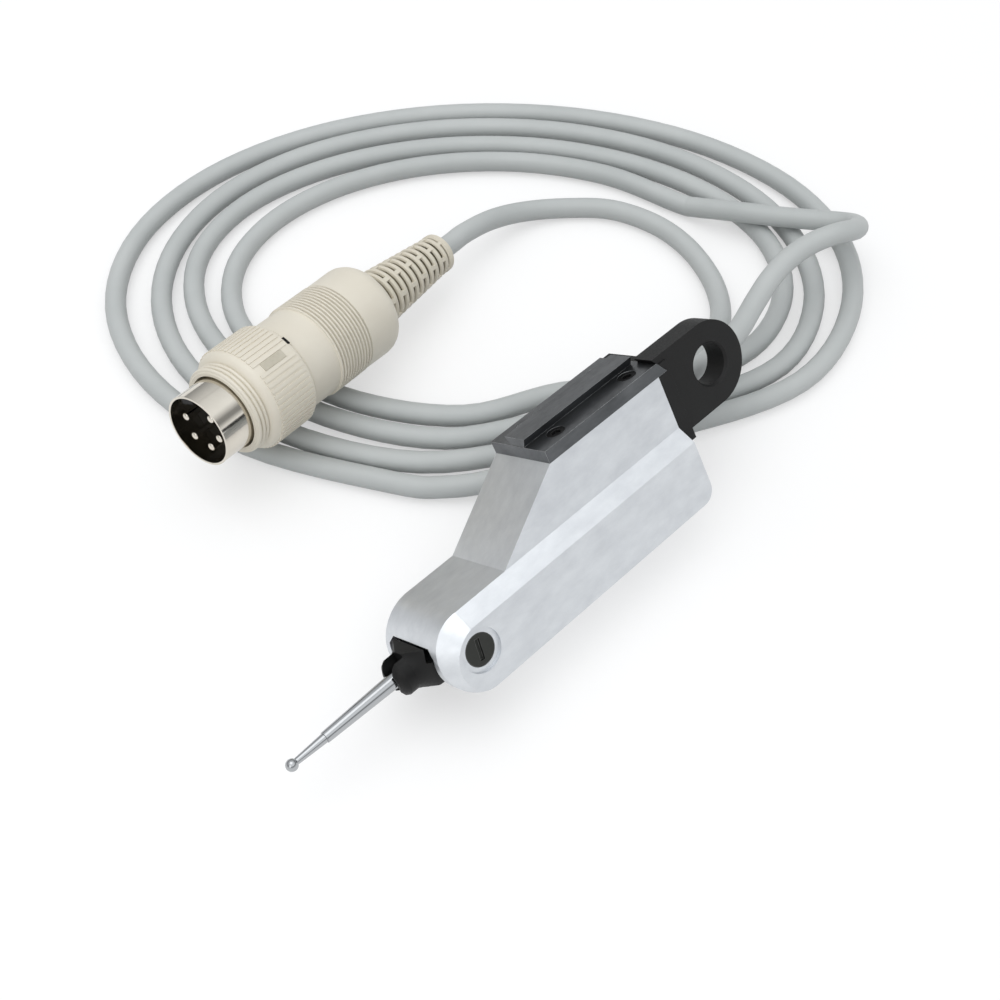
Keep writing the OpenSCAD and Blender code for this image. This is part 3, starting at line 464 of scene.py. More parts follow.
def dressed_copy(dress: Dress, body: str) -> bpy.types.Object:
    """Copies a CAD node, breaks its sharp edges and gives it its finish.

    Args:
        dress: How the node is dressed.
        body: The body that the piece rides on.

    Returns:
        The new object, which replaces the node.
    """
    shape = bmesh.new()
    shape.from_mesh(frame["nodes"][dress.node].data)
    bmesh.ops.remove_doubles(shape, verts=shape.verts, dist=MERGE_DISTANCE)
    bmesh.ops.dissolve_limit(shape, angle_limit=FLAT_WITHIN, verts=shape.verts, edges=shape.edges)
    blank = bpy.data.meshes.new(dress.name + "_blank")
    shape.to_mesh(blank)
    shape.free()
    blank.materials.clear()
    for _ in range(EDGE_SLOT + 1):
        blank.materials.append(dress.finish.material())
    blank.polygons.foreach_set("material_index", [0] * len(blank.polygons))
    blank.shade_smooth()
    blank.set_sharp_from_angle(angle=BROKEN_EDGE_ANGLE)
    holder = bpy.data.objects.new(dress.name + "_blank", blank)
    bpy.context.scene.collection.objects.link(holder)
    if dress.edge > 0:
        broken = holder.modifiers.new("broken_edges", "BEVEL")
        broken.width = dress.edge
        broken.segments = 2
        broken.limit_method = "ANGLE"
        broken.angle_limit = BROKEN_EDGE_ANGLE
        broken.harden_normals = True
        broken.material = EDGE_SLOT
    even = holder.modifiers.new("even_faces", "WEIGHTED_NORMAL")
    even.keep_sharp = True
    mesh = evaluated_mesh(holder, dress.name)
    marked = mesh.attributes.new("edge", "FLOAT", "FACE")
    marked.data.foreach_set("value", [float(face.material_index) for face in mesh.polygons])
    mesh.polygons.foreach_set("material_index", [0] * len(mesh.polygons))
    piece = new_piece(dress.name, mesh, dress.finish, body)
    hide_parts(dress.node)
    return piece


def dress_all(title: str, body: str, dresses: list[Dress]) -> list[bpy.types.Object]:
    """Dresses copies of several CAD nodes of one body.

    Args:
        title: The sub-assembly's name in the log.
        body: The body that they ride on.
        dresses: How each node is dressed.

    Returns:
        The new pieces.
    """
    made = []
    for dress in dresses:
        made.append(dressed_copy(dress, body))
        log.info("%s: %s", title, dress.name)
    return made


def repaint(node: str, finish: Finish) -> None:
    """Gives a CAD node that keeps its shape its finish.

    Args:
        node: The CAD node.
        finish: Its finish.
    """
    mesh = frame["nodes"][node].data
    mesh.materials.clear()
    mesh.materials.append(finish.material())


def lathe(name: str, profile: list[tuple[float, float]], place: Matrix, steps: int = 96) -> bpy.types.Mesh:
    """Revolves an outline about the X axis.

    Args:
        name: The mesh's name.
        profile: Closed outline as (distance, radius) pairs in metres, along +X on its outer side.
        place: Matrix from the outline's frame to the row frame.
        steps: Steps round the axis.

    Returns:
        A closed mesh in the row frame.
    """
    corners = len(profile)
    points, faces = [], []
    for step in range(steps):
        angle = 2 * math.pi * step / steps
        points += [place @ Vector((x, -r * math.sin(angle), r * math.cos(angle))) for x, r in profile]
        here, there = step * corners, (step + 1) % steps * corners
        for i in range(corners):
            j = (i + 1) % corners
            faces.append((here + i, there + i, there + j, here + j))
    mesh = bpy.data.meshes.new(name)
    mesh.from_pydata(points, [], faces)
    mesh.shade_smooth()
    mesh.set_sharp_from_angle(angle=TURNED_EDGE_ANGLE)
    return mesh


def block(name: str, sides: Triple, place: Matrix) -> bpy.types.Mesh:
    """Makes a small block about the origin of its own frame.

    Args:
        name: The mesh's name.
        sides: Its three sides in metres.
        place: Matrix from its frame to the row frame.

    Returns:
        The mesh in the row frame.
    """
    shape = bmesh.new()
    bmesh.ops.create_cube(shape, size=1.0)
    shape.transform(place @ Matrix.Diagonal((*sides, 1)))
    mesh = bpy.data.meshes.new(name)
    shape.to_mesh(mesh)
    shape.free()
    return mesh


# Geometry node recipes


class Recipe:
    """A small helper that builds one geometry node tree and turns its result into a mesh."""

    def __init__(self, name: str) -> None:
        """Starts an empty tree.

        Args:
            name: The tree's name.
        """
        self.tree = bpy.data.node_groups.new(name, "GeometryNodeTree")
        self.tree.interface.new_socket("Geometry", in_out="OUTPUT", socket_type="NodeSocketGeometry")
        self.given = self.tree.nodes.new("NodeGroupInput")
        self.values: dict[str, object] = {}

    def size(self, name: str, value: float, kind: str = "NodeSocketFloat") -> bpy.types.NodeSocket:
        """Adds a named input and its value.

        Args:
            name: The input's name.
            value: Its value on the modifier.
            kind: The socket's type.

        Returns:
            The output of the group input node that carries it.
        """
        socket = self.tree.interface.new_socket(name, in_out="INPUT", socket_type=kind)
        self.values[socket.identifier] = value
        return self.given.outputs[name]

    def count(self, name: str, value: int) -> bpy.types.NodeSocket:
        """Adds a named input that takes a whole number and returns its socket."""
        return self.size(name, value, "NodeSocketInt")

    def node(self, kind: str, **inputs: object) -> bpy.types.Node:
        """Adds a node, setting plain inputs and linking sockets.

        Args:
            kind: The node's type.
            **inputs: Values or sockets by input name, with spaces written as underscores.

        Returns:
            The new node.
        """
        made = self.tree.nodes.new(kind)
        feed(self.tree, made, {key.replace("_", " "): value for key, value in inputs.items()})
        return made

    def math(self, operation: str, first: object, second: object = 0.0) -> bpy.types.NodeSocket:
        """Adds a maths node with two values or sockets and returns its output."""
        return maths(self.tree, operation, first, second)

    def vector(self, x: object, y: object = 0.0, z: object = 0.0) -> bpy.types.NodeSocket:
        """Joins three values or sockets into a vector and returns its socket."""
        return self.node("ShaderNodeCombineXYZ", X=x, Y=y, Z=z).outputs[0]

    def index(self) -> bpy.types.NodeSocket:
        """Adds an index node and returns its output."""
        return self.node("GeometryNodeInputIndex").outputs[0]

    def moved(self, shape: bpy.types.NodeSocket, **inputs: object) -> bpy.types.NodeSocket:
        """Adds a transform node.

        Args:
            shape: The geometry to move.
            **inputs: Its translation, rotation or scale.

        Returns:
            The moved geometry's socket.
        """
        return self.node("GeometryNodeTransform", Geometry=shape, **inputs).outputs["Geometry"]

    def joined(self, parts: list[bpy.types.NodeSocket]) -> bpy.types.NodeSocket:
        """Joins geometry sockets in the order given and returns the joined one."""
        join = self.tree.nodes.new("GeometryNodeJoinGeometry")
        for part in reversed(parts):
            self.tree.links.new(part, join.inputs[0])
        return join.outputs[0]

    def ring(self, radius: object, wire: object, sides: int, around: int) -> bpy.types.NodeSocket:
        """Adds a round ring about the X axis, of round section.

        Args:
            radius: Radius of the ring's middle line.
            wire: Radius of its section.
            sides: Sides of the section.
            around: Points round the ring.

        Returns:
            The ring's mesh socket.
        """
        line = self.node("GeometryNodeCurvePrimitiveCircle", Resolution=around, Radius=radius)
        section = self.node("GeometryNodeCurvePrimitiveCircle", Resolution=sides, Radius=wire)
        swept = self.node("GeometryNodeCurveToMesh", Curve=line.outputs["Curve"],
                          Profile_Curve=section.outputs["Curve"])
        return self.moved(swept.outputs["Mesh"], Rotation=(0.0, math.pi / 2, 0.0))

    def repeated(self, shape: bpy.types.NodeSocket, count: object, place: object,
                 turn: object = (0.0, 0.0, 0.0), scale: object = (1.0, 1.0, 1.0)) -> bpy.types.NodeSocket:
        """Instances a shape, with a place, turn and scale for each copy.

        Args:
            shape: The geometry to repeat.
            count: Number of copies.
            place: Offset socket or value.
            turn: Rotation socket or value.
            scale: Scale socket or value.

        Returns:
            The instances' socket.
        """
        points = self.node("GeometryNodeMeshLine", Count=count, Offset=(0.0, 0.0, 0.0))
        spaced = self.node("GeometryNodeSetPosition", Geometry=points.outputs["Mesh"], Offset=place)
        spread = self.node("GeometryNodeInstanceOnPoints", Points=spaced.outputs["Geometry"], Instance=shape,
                           Rotation=turn, Scale=scale)
        return spread.outputs["Instances"]

    def row(self, shape: bpy.types.NodeSocket, count: bpy.types.NodeSocket, first: float,
            pitch: bpy.types.NodeSocket) -> bpy.types.NodeSocket:
        """Repeats a shape in an even row along the X axis.

        Args:
            shape: The geometry to repeat.
            count: Number of copies.
            first: The first copy's place, as a share of the pitch.
            pitch: Distance between copies.

        Returns:
            The copies' socket.
        """
        along = self.math("MULTIPLY", self.math("ADD", self.index(), first), pitch)
        return self.repeated(shape, count, self.vector(along))

    def mesh(self, name: str, finish: Finish, parts: list[bpy.types.NodeSocket],
             place: Matrix) -> bpy.types.Mesh:
        """Joins the parts, ends the tree and makes the finished mesh.

        Args:
            name: The mesh's name.
            finish: The finish that the tree sets.
            parts: Geometry sockets to join.
            place: Matrix from the recipe's frame to the row frame.

        Returns:
            A plain mesh in the row frame.
        """
        real = self.node("GeometryNodeRealizeInstances", Geometry=self.joined(parts))
        painted = self.node("GeometryNodeSetMaterial", Geometry=real.outputs[0], Material=finish.material())
        feed(self.tree, self.tree.nodes.new("NodeGroupOutput"), {0: painted.outputs[0]})
        holder = bpy.data.objects.new(name + "_recipe", bpy.data.meshes.new(name + "_empty"))
        bpy.context.scene.collection.objects.link(holder)
        modifier = holder.modifiers.new("recipe", "NODES")
        modifier.node_group = self.tree
        for identifier, value in self.values.items():
            modifier[identifier] = value
        mesh = evaluated_mesh(holder, name)
        mesh.transform(place)
        mesh.shade_smooth()
        mesh.set_sharp_from_angle(angle=RECIPE_EDGE_ANGLE)
        return mesh


# Sub-assemblies


@dataclass(frozen=True)
class Lamp:
    """A square soft lamp: its place and side in metres, and its power in watts."""

    name: str
    place: Triple
    size: float
    power: float


@dataclass
class Studio:
    """Camera, pale floor and soft light.

    The world's light is a sum of two ramps, one over the height of a direction and one over its depth. It is
    dimmed in a band at mid height, which gives metal its contrast and ends towards the back.
    """

    camera_at: Triple = (-0.1021, -0.0981, 0.2121)
    azimuth: float = math.radians(-44.986)
    elevation: float = math.radians(52.728)
    focal_px: float = 1535.5
    sensor: float = 36.0
    near_clip: float = 0.01
    floor_size: float = 6.0
    floor_drop: float = 0.05 * MM
    floor_tone: float = 0.5
    floor_roughness: float = 0.9
    room_tint: Colour = (0.97, 0.985, 1.0, 1.0)
    height_span: Span = (-0.05, 0.75)
    height_light: Span = (0.5, 0.95)
    depth_span: Span = (-1.0, 1.0)
    depth_light: Span = (0.42, -0.2)
    band_foot: Span = (0.2, 0.38)
    band_head: Span = (0.5, 0.7)
    band_back: Span = (0.1, 0.6)
    band_light: float = 0.3
    lamps: tuple[Lamp, ...] = (Lamp("overhead", (-0.05, 0.12, 0.62), size=0.5, power=0.8),
                               Lamp("left_fill", (-0.55, -0.15, 0.35), size=0.4, power=0.5))
    lamps_aim: Triple = (0.02, 0.03, 0.0)

    def build(self) -> None:
        """Makes the camera first, then the floor, the world and the lamps."""
        self._camera()
        self._floor()
        self._world()
        for lamp in self.lamps:
            self._lamp(lamp)

    def _camera(self) -> None:
        """Places the camera at the photograph's viewpoint."""
        lens = bpy.data.cameras.new("view")
        lens.sensor_width = self.sensor
        lens.lens = self.focal_px / IMAGE_SIDE_PX * self.sensor
        lens.clip_start = self.near_clip
        camera = bpy.data.objects.new("view", lens)
        camera.location = self.camera_at
        camera.rotation_euler = (math.pi / 2 - self.elevation, 0.0, self.azimuth)
        bpy.context.scene.collection.objects.link(camera)
        bpy.context.scene.camera = camera
        bpy.context.scene.view_settings.view_transform = "Standard"

    def _floor(self) -> None:
        """Lays a white floor that shows as the background and keeps a soft shadow."""
        half, down = self.floor_size / 2, -self.floor_drop
        mesh = bpy.data.meshes.new("floor")
        mesh.from_pydata([(-half, -half, down), (half, -half, down), (half, half, down), (-half, half, down)],
                         [], [(0, 1, 2, 3)])
        floor = bpy.data.objects.new("floor", mesh)
        bpy.context.scene.collection.objects.link(floor)
        material = bpy.data.materials.new("white_floor")
        material.use_nodes = True
        tree = material.node_tree
        rays = tree.nodes.new("ShaderNodeLightPath").outputs
        seen = maths(tree, "ADD", rays["Is Camera Ray"], rays["Is Glossy Ray"], clamp=True)
        seen = maths(tree, "ADD", seen, rays["Is Transmission Ray"], clamp=True)
        feed(tree, tree.nodes["Principled BSDF"], {
            "Base Color": (self.floor_tone, self.floor_tone, self.floor_tone, 1.0),
            "Roughness": self.floor_roughness, "Specular IOR Level": 0.0,
            "Emission Color": (1.0, 1.0, 1.0, 1.0),
            "Emission Strength": maths(tree, "MULTIPLY", seen, 1.0 - self.floor_tone)})
        mesh.materials.append(material)

    def _world(self) -> None:
        """Fills the world with soft light, which the camera sees as an even white."""
        world = bpy.data.worlds.new("soft_room")
        bpy.context.scene.world = world
        world.use_nodes = True
        tree = world.node_tree
        place = tree.nodes.new("ShaderNodeTexCoord")
        parts = tree.nodes.new("ShaderNodeSeparateXYZ")
        feed(tree, parts, {0: place.outputs["Generated"]})
        up, back = parts.outputs["Z"], parts.outputs["Y"]
        light = maths(tree, "ADD", ramp(tree, up, self.height_span, self.height_light),
                      ramp(tree, back, self.depth_span, self.depth_light))
        below_band = ramp(tree, up, self.band_foot, (1.0, 0.0))
        above_band = ramp(tree, up, self.band_head, FULL_SPAN)
        past_band = ramp(tree, back, self.band_back, FULL_SPAN)
        open_air = maths(tree, "MAXIMUM", maths(tree, "MAXIMUM", below_band, above_band), past_band)
        total = maths(tree, "MULTIPLY", light, ramp(tree, open_air, FULL_SPAN, (self.band_light, 1.0)))
        rays = tree.nodes.new("ShaderNodeLightPath").outputs
        feed(tree, tree.nodes["Background"], {
            "Color": self.room_tint,
            "Strength": mix(tree, MixKind.NUMBER, total, 1.0, rays["Is Camera Ray"])})

    def _lamp(self, lamp: Lamp) -> None:
        """Hangs a lamp that faces the object.

        Args:
            lamp: The lamp to hang.
        """
        data = bpy.data.lights.new(lamp.name, "AREA")
        data.size = lamp.size
        data.energy = lamp.power
        hung = bpy.data.objects.new(lamp.name, data)
        hung.location = lamp.place
        aim = Vector(self.lamps_aim) - Vector(lamp.place)
        hung.rotation_euler = aim.to_track_quat("-Z", "Y").to_euler()
        bpy.context.scene.collection.objects.link(hung)


@dataclass
class CableRun:
    """The grey cable: from the gland over the coil, round its turns and back to the plug.

    The route is in millimetres and the coil's angles are in degrees. The turns are ovals that widen from one
    share of the full size to the other, with a dent on one side and a slight waver.
    """

    diameter: float = 4 * MM
    centre: tuple[float, float] = (48.5, 53.5)
    half_long: float = 74.5
    half_short: float = 52.0
    oval_turn: float = math.radians(-45)
    start_angle: float = 40.0
    turns: float = 3.6
    share_from: float = 0.64
    share_to: float = 1.0
    dent_share: float = 0.12
    dent_at: float = 289.0
    dent_width: float = 20.0
    waver_share: float = 0.007
    waver_long: float = 0.012
    waver_rate: float = 2.3
    points_a_turn: int = 16
    steps_between: int = 6
    round_steps: int = 6
    lie_height: float = 2.1
    lead: list[Triple] = field(default_factory=lambda: [
        (35.9, 4.05, 15.09), (41.9, 4.05, 15.09), (48, 4, 15.1), (55, 4.2, 14.6), (61.1, 5.3, 14.4),
        (68, 7.4, 14.6), (74, 8.8, 15.4), (79.7, 9.1, 16.4), (84.6, 8.1, 17.4), (89.1, 6.6, 17.6),
        (93.2, 5.9, 16.2), (97.4, 6.7, 13.6), (100.6, 8.5, 11), (102.3, 11, 8.9), (101.8, 14.6, 7.4),
        (99.5, 19, 6.6), (96.3, 23.8, 6.3), (93.2, 28.8, 6), (91.3, 34.2, 4.6), (90.2, 39, 2.9)])
    tail: list[Triple] = field(default_factory=lambda: [
        (6, 23.6, 2.3), (12.6, 18, 3.4), (20, 14.2, 5.2), (28, 12.4, 6.3),
        (37, 11.4, 6.4), (47, 10.8, 6.4), (57, 11, 6.2), (65, 12.8, 4.4), (72, 17, 2.6),
        (77.6, 24, 2.1), (81, 33, 2.1), (81.4, 42, 2.1), (78.4, 51, 2.1), (72, 58, 2.1),
        (64.5, 62, 3.4), (56.5, 62.8, 6), (48.86, 62.27, 7.96), (43.96, 61.54, 8.63), (38.47, 60.73, 9.39)])

    def coil_point(self, turn: float) -> Vector:
        """Gives a point of the coiled stretch.

        Args:
            turn: Turns since the coil's start.

        Returns:
            The point in millimetres.
        """
        degrees = self.start_angle + 360 * turn
        angle = math.radians(degrees)
        share = self.share_from + (self.share_to - self.share_from) * turn / self.turns
        away = abs((degrees - self.dent_at + 180) % 360 - 180)
        share -= self.dent_share * math.exp(-(away / self.dent_width) ** 2)
        sway = self.waver_share + self.waver_long * math.cos(angle) ** 2
        sway *= math.sin(math.pi * turn / self.turns)
        share += sway * math.sin(self.waver_rate * angle)
        u = self.half_long * share * math.cos(angle)
        v = self.half_short * share * math.sin(angle)
        c, s = math.cos(self.oval_turn), math.sin(self.oval_turn)
        return Vector((self.centre[0] + u * c - v * s, self.centre[1] + u * s + v * c, self.lie_height))

    def centreline(self) -> list[Vector]:
        """Runs a smooth curve from the gland over the coil to the plug.

        Returns:
            The whole route in metres.
        """
        count = round(self.turns * self.points_a_turn)
        coil = [self.coil_point(self.turns * i / count) for i in range(count + 1)]
        route = [Vector(p) for p in self.lead] + coil + [Vector(p) for p in self.tail]
        smooth = []
        for i in range(len(route) - 1):
            before, after = route[max(i - 1, 0)], route[min(i + 2, len(route) - 1)]
            for k in range(self.steps_between):
                smooth.append(self._between(before, route[i], route[i + 1], after, k / self.steps_between))
        smooth.append(route[-1])
        return [p * MM for p in smooth]

    @staticmethod
    def _between(p0: Vector, p1: Vector, p2: Vector, p3: Vector, t: float) -> Vector:
        """Returns the point at share t between p1 and p2 on a smooth curve past all four points."""
        ends = 2 * p1 + (p2 - p0) * t
        bend = (2 * p0 - 5 * p1 + 4 * p2 - p3) * t ** 2 + (3 * (p1 - p2) + p3 - p0) * t ** 3
        return (ends + bend) / 2

    def build(self, plug_pieces: list[bpy.types.Object]) -> None:
        """Args:
            plug_pieces: The pieces on its far end; not used.
        """
        points = self.centreline()
        curve = bpy.data.curves.new("cable", "CURVE")
        curve.dimensions = "3D"
        curve.bevel_depth = self.diameter / 2
        curve.bevel_resolution = self.round_steps
        curve.use_fill_caps = True
        spline = curve.splines.new("POLY")
        spline.points.add(len(points) - 1)
        for target, point in zip(spline.points, points):
            target.co = (*point, 1.0)
        spline.use_smooth = True
        cable = bpy.data.objects.new("cable", curve)
        bpy.context.scene.collection.objects.link(cable)
        curve.materials.append(GREY_SHEATH.material())
        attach(cable, "head")
        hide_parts("cord_lead", "cord_coil", "cord_tail")


@dataclass
class Head:
    """Body, rail, bracket, pivot screws and what is inside."""

    edge: float = 0.22 * MM
    rail_edge: float = 0.132 * MM
    screw_edge: float = 0.11 * MM

    def build(self) -> None:
        """Dresses the head's outer pieces and repaints the inner ones."""
        dress_all("head", "head", [
            Dress("housing", "body_casting", SATIN_ALUMINIUM, "satin_aluminium", self.edge),
            Dress("dovetail_rail", "dovetail_rail_ground", GROUND_GUNMETAL, "gunmetal", self.rail_edge),
            Dress("rear_bracket", "rear_bracket_milled", BLACK_ANODISED, "black_anodised", self.edge),
            Dress("bearing_screw_near", "near_pivot_screw", SCREW_GUNMETAL, "gunmetal", self.screw_edge),
            Dress("bearing_screw_far", "far_pivot_screw", SCREW_GUNMETAL, "gunmetal", self.screw_edge),
            Dress("rail_screws", "rail_fixing_screws", BLACK_OXIDE, "black_steel", self.screw_edge),
            Dress("bracket_screws", "bracket_fixing_screws", BLACK_OXIDE, "black_steel", self.screw_edge),
            Dress("cable_gland", "gland_bushing", BLACK_PLASTIC, "black_plastic", self.edge)])
        inner = {"bearings": TURNED_BRASS, "pivot_shaft": POLISHED_STEEL, "lever_arm": POLISHED_STEEL,
                 "friction_washers": TURNED_BRASS, "core_rod": POLISHED_STEEL, "coil_former": IVORY_PLASTIC,
                 "coil_windings": COPPER_WIRE, "return_spring": POLISHED_STEEL,
                 "terminal_board": BOARD_LAMINATE, "cable_clamp": POLISHED_STEEL}
        for node, finish in inner.items():
            repaint(node, finish)
        log.info("head: %d inner pieces painted", len(inner))


@dataclass
class Stylus:
    """Black holder, polished shank, tip rod and ball."""

    holder_edge: float = 0.25 * MM
    shank_edge: float = 0.075 * MM

    def build(self) -> None:
        """Dresses the stylus and its holder."""
        dress_all("stylus", "stylus", [
            Dress("stylus_holder", "holder_drum_and_boss", BLACK_OXIDE, "black_steel", self.holder_edge),
            Dress("stylus_shank", "tapered_shank", POLISHED_STEEL, "polished_steel", self.shank_edge),
            Dress("stylus_tip", "tip_rod", POLISHED_STEEL, "polished_steel", 0.0),
            Dress("contact_ball", "polished_contact_ball", POLISHED_STEEL, "polished_steel", 0.0)])


@dataclass
class Plug:
    """Five-pin plug: shell, insulator, pins, coupling ring, grooved body, hood and slotted boot.

    Distances run along the plug's axis from the shell's rim, and turns are about that axis.
    """

    roll: float = math.radians(27.7)
    to_ring: float = 12.5 * MM
    hood_edge: float = 0.18 * MM
    insulator_edge: float = 0.108 * MM
    body_edge: float = 0.072 * MM
    pins: int = 5
    pin_spread: float = math.radians(60)
    pin_radius: float = 0.725 * MM
    pin_circle: float = 3.75 * MM
    pin_from: float = 0.8 * MM
    pin_to: float = 12 * MM
    pin_dome: float = 0.36 * MM
    dome_share: float = 0.5
    ring_from: float = 6 * MM
    ring_step: float = 8.6 * MM
    ring_to: float = 19 * MM
    ring_bore: float = 6.95 * MM
    ring_low: float = 9.5 * MM
    ring_nose: float = 7.75 * MM
    ribs: int = 58
    rib_width: float = 0.62 * MM
    rib_height: float = 0.14 * MM
    rib_from: float = 1.5 * MM
    rib_end_gap: float = 0.7 * MM
    crests: int = 3
    crest_wire: float = 0.36 * MM
    crest_lift: float = 0.05 * MM
    first_crest: float = 0.6
    window_turn: float = math.radians(53)
    window_half: float = math.radians(7)
    window_sides: Triple = (5 * MM, 1.5 * MM, 0.16 * MM)
    window_from: float = 5.5 * MM
    window_lift: float = 0.02 * MM
    notch_turn: float = math.radians(44)
    notch_sides: Triple = (0.5 * MM, 1.5 * MM, 0.6 * MM)
    notch_end_gap: float = 0.2 * MM
    notch_sink: float = 0.32 * MM
    groove_circle: float = 8.33 * MM
    groove_wire: float = 0.15 * MM
    grooves: int = 11
    grooves_from: float = 26.2 * MM
    groove_step: float = 8.2 / 11 * MM
    first_groove: float = 0.725
    boot_from: float = 43.5 * MM
    boot_length: float = 21.3 * MM
    boot_front: float = 5.5 * MM
    boot_rear: float = 3.9 * MM
    boot_bore: float = 2.04 * MM
    boot_bands: int = 13
    band_wire: float = 0.5 * MM
    band_inset: float = 0.8 * MM
    collar_length: float = 1.6 * MM
    core_sink: float = 0.9 * MM
    webs: int = 4
    web_share: float = 0.18
    web_height: float = 1.5

    def build(self) -> list[bpy.types.Object]:
        """Makes the plug's pieces.

        Returns:
            All the pieces on the cable's end.
        """
        place = plug_place(self.roll, self.to_ring)
        made = dress_all("plug", "head", [
            Dress("plug_shell", "plug_shell_plated", BRIGHT_NICKEL, "nickel", self.body_edge),
            Dress("plug_insert", "plug_insulator", BLACK_PLASTIC, "black_plastic", self.insulator_edge),
            Dress("plug_body", "grooved_body", IVORY_PLASTIC, "ivory_plastic", self.body_edge),
            Dress("plug_hood", "rounded_hood", IVORY_PLASTIC, "ivory_plastic", self.hood_edge)])
        made.append(self._pins(place))
        made.append(self._groove_shade(place))
        made.extend(self._ring(place))
        made.extend(self._boot(place))
        return made

    def _pins(self, place: Matrix) -> bpy.types.Object:
        """Builds the five pins with domed ends by geometry nodes.

        Args:
            place: The plug's frame.

        Returns:
            The pins as one piece.
        """
        recipe = Recipe("domed_pins")
        count = recipe.count("Count", self.pins)
        spread = recipe.size("Spread", self.pin_spread)
        radius = recipe.size("Radius", self.pin_radius)
        circle = recipe.size("Circle", self.pin_circle)
        length = recipe.size("Length", self.pin_to - self.pin_from)
        body = recipe.node("GeometryNodeMeshCylinder", Vertices=24, Radius=radius, Depth=length)
        dome = recipe.node("GeometryNodeMeshUVSphere", Segments=24, Rings=12, Radius=radius)
        half = recipe.math("MULTIPLY", length, 0.5)
        down = recipe.math("MULTIPLY", half, -1.0)
        end = recipe.moved(dome.outputs["Mesh"], Translation=recipe.vector(0.0, 0.0, down),
                           Scale=(1.0, 1.0, self.dome_share))
        pin = recipe.joined([end, body.outputs["Mesh"]])
        low = recipe.math("MULTIPLY", circle, -1.0)
        lying = recipe.moved(pin, Translation=recipe.vector(half, 0.0, low),
                             Rotation=(0.0, math.pi / 2, 0.0))
        middle = recipe.math("MULTIPLY", recipe.math("SUBTRACT", count, 1.0), 0.5)
        angle = recipe.math("MULTIPLY", recipe.math("SUBTRACT", recipe.index(), middle), spread)
        first = (self.pin_from + self.pin_dome, 0.0, 0.0)
        copies = recipe.repeated(lying, count, first, recipe.vector(angle))
        mesh = recipe.mesh("contact_pins", BRIGHT_NICKEL, [copies], place)
        piece = new_piece("contact_pins", mesh, BRIGHT_NICKEL, "head")
        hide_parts("plug_pins")
        log.info("plug: contact_pins")
        return piece

    def _groove_shade(self, place: Matrix) -> bpy.types.Object:
        """Lays painted shade in the bottoms of the grip's grooves, as fine dark rings, by geometry nodes.

        Args:
            place: The plug's frame.

        Returns:
            The fine rings as one piece.
        """
        recipe = Recipe("groove_shade")
        ring = recipe.ring(recipe.size("Groove Circle", self.groove_circle),
                           recipe.size("Groove Section", self.groove_wire), sides=8, around=96)
        rows = recipe.row(ring, recipe.count("Grooves", self.grooves), self.first_groove,
                          recipe.size("Groove Pitch", self.groove_step))
        mesh = recipe.mesh("grip_groove_shade", PAINTED_SHADE_RUBBER, [rows], place @ shifted(self.grooves_from))
        piece = new_piece("grip_groove_shade", mesh, PAINTED_SHADE_RUBBER, "head")
        log.info("plug: %d grip grooves", self.grooves)
        return piece

    def _ring(self, place: Matrix) -> list[bpy.types.Object]:
        """Builds the coupling ring: a turned sleeve, its ribs and thread crests, plain window, and a black
        block of painted shade in its notch.

        Args:
            place: The plug's frame.

        Returns:
            The ring's pieces, which all turn with it.
        """
        at_window = place @ Matrix.Rotation(self.window_turn, 4, "X")
        at_window = at_window @ shifted(self.ring_step + self.window_from, self.ring_low + self.window_lift)
        # Painted shade: a black block stands in the rim's notch.
        at_notch = place @ Matrix.Rotation(self.notch_turn, 4, "X")
        at_notch = at_notch @ shifted(self.ring_to - self.notch_end_gap, self.ring_low - self.notch_sink)
        meshes = [("ring_sleeve", self._ring_sleeve(place), IVORY_PLASTIC),
                  ("ring_ribs", self._ring_ribs(place), IVORY_PLASTIC),
                  ("ring_threads", self._ring_threads(place), IVORY_PLASTIC),
                  ("ring_window", block("ring_window", self.window_sides, at_window), PALE_PANE),
                  ("ring_notch_painted_shade", block("ring_notch_painted_shade", self.notch_sides, at_notch), BLACK_PLASTIC)]
        made = []
        for name, mesh, finish in meshes:
            piece = new_piece(name, mesh, finish, "coupling_ring")
            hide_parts("plug_coupling_ring")
            made.append(piece)
        log.info("plug: coupling ring with %d ribs and %d thread crests", self.ribs, self.crests)
        return made

    def _ring_sleeve(self, place: Matrix) -> bpy.types.Mesh:
        """Turns the ring's sleeve with its rounded shoulder and threaded nose.

        Args:
            place: The plug's frame.

        Returns:
            The sleeve's mesh.
        """
        start, step, end, bore = self.ring_from, self.ring_step, self.ring_to, self.ring_bore
        low, nose = self.ring_low, self.ring_nose
        return lathe("ring_sleeve", [
            (start, bore), (start, nose - 0.25 * MM), (start + 0.2 * MM, nose), (step, nose),
            (step + 0.1 * MM, low - 1.3 * MM), (step + 0.25 * MM, low - 0.95 * MM),
            (step + 0.6 * MM, low - 0.5 * MM), (step + 1.1 * MM, low - 0.18 * MM), (step + 1.8 * MM, low),
            (end - 0.7 * MM, low), (end - 0.25 * MM, low - 0.1 * MM), (end, low - 0.4 * MM),
            (end, bore)], place)

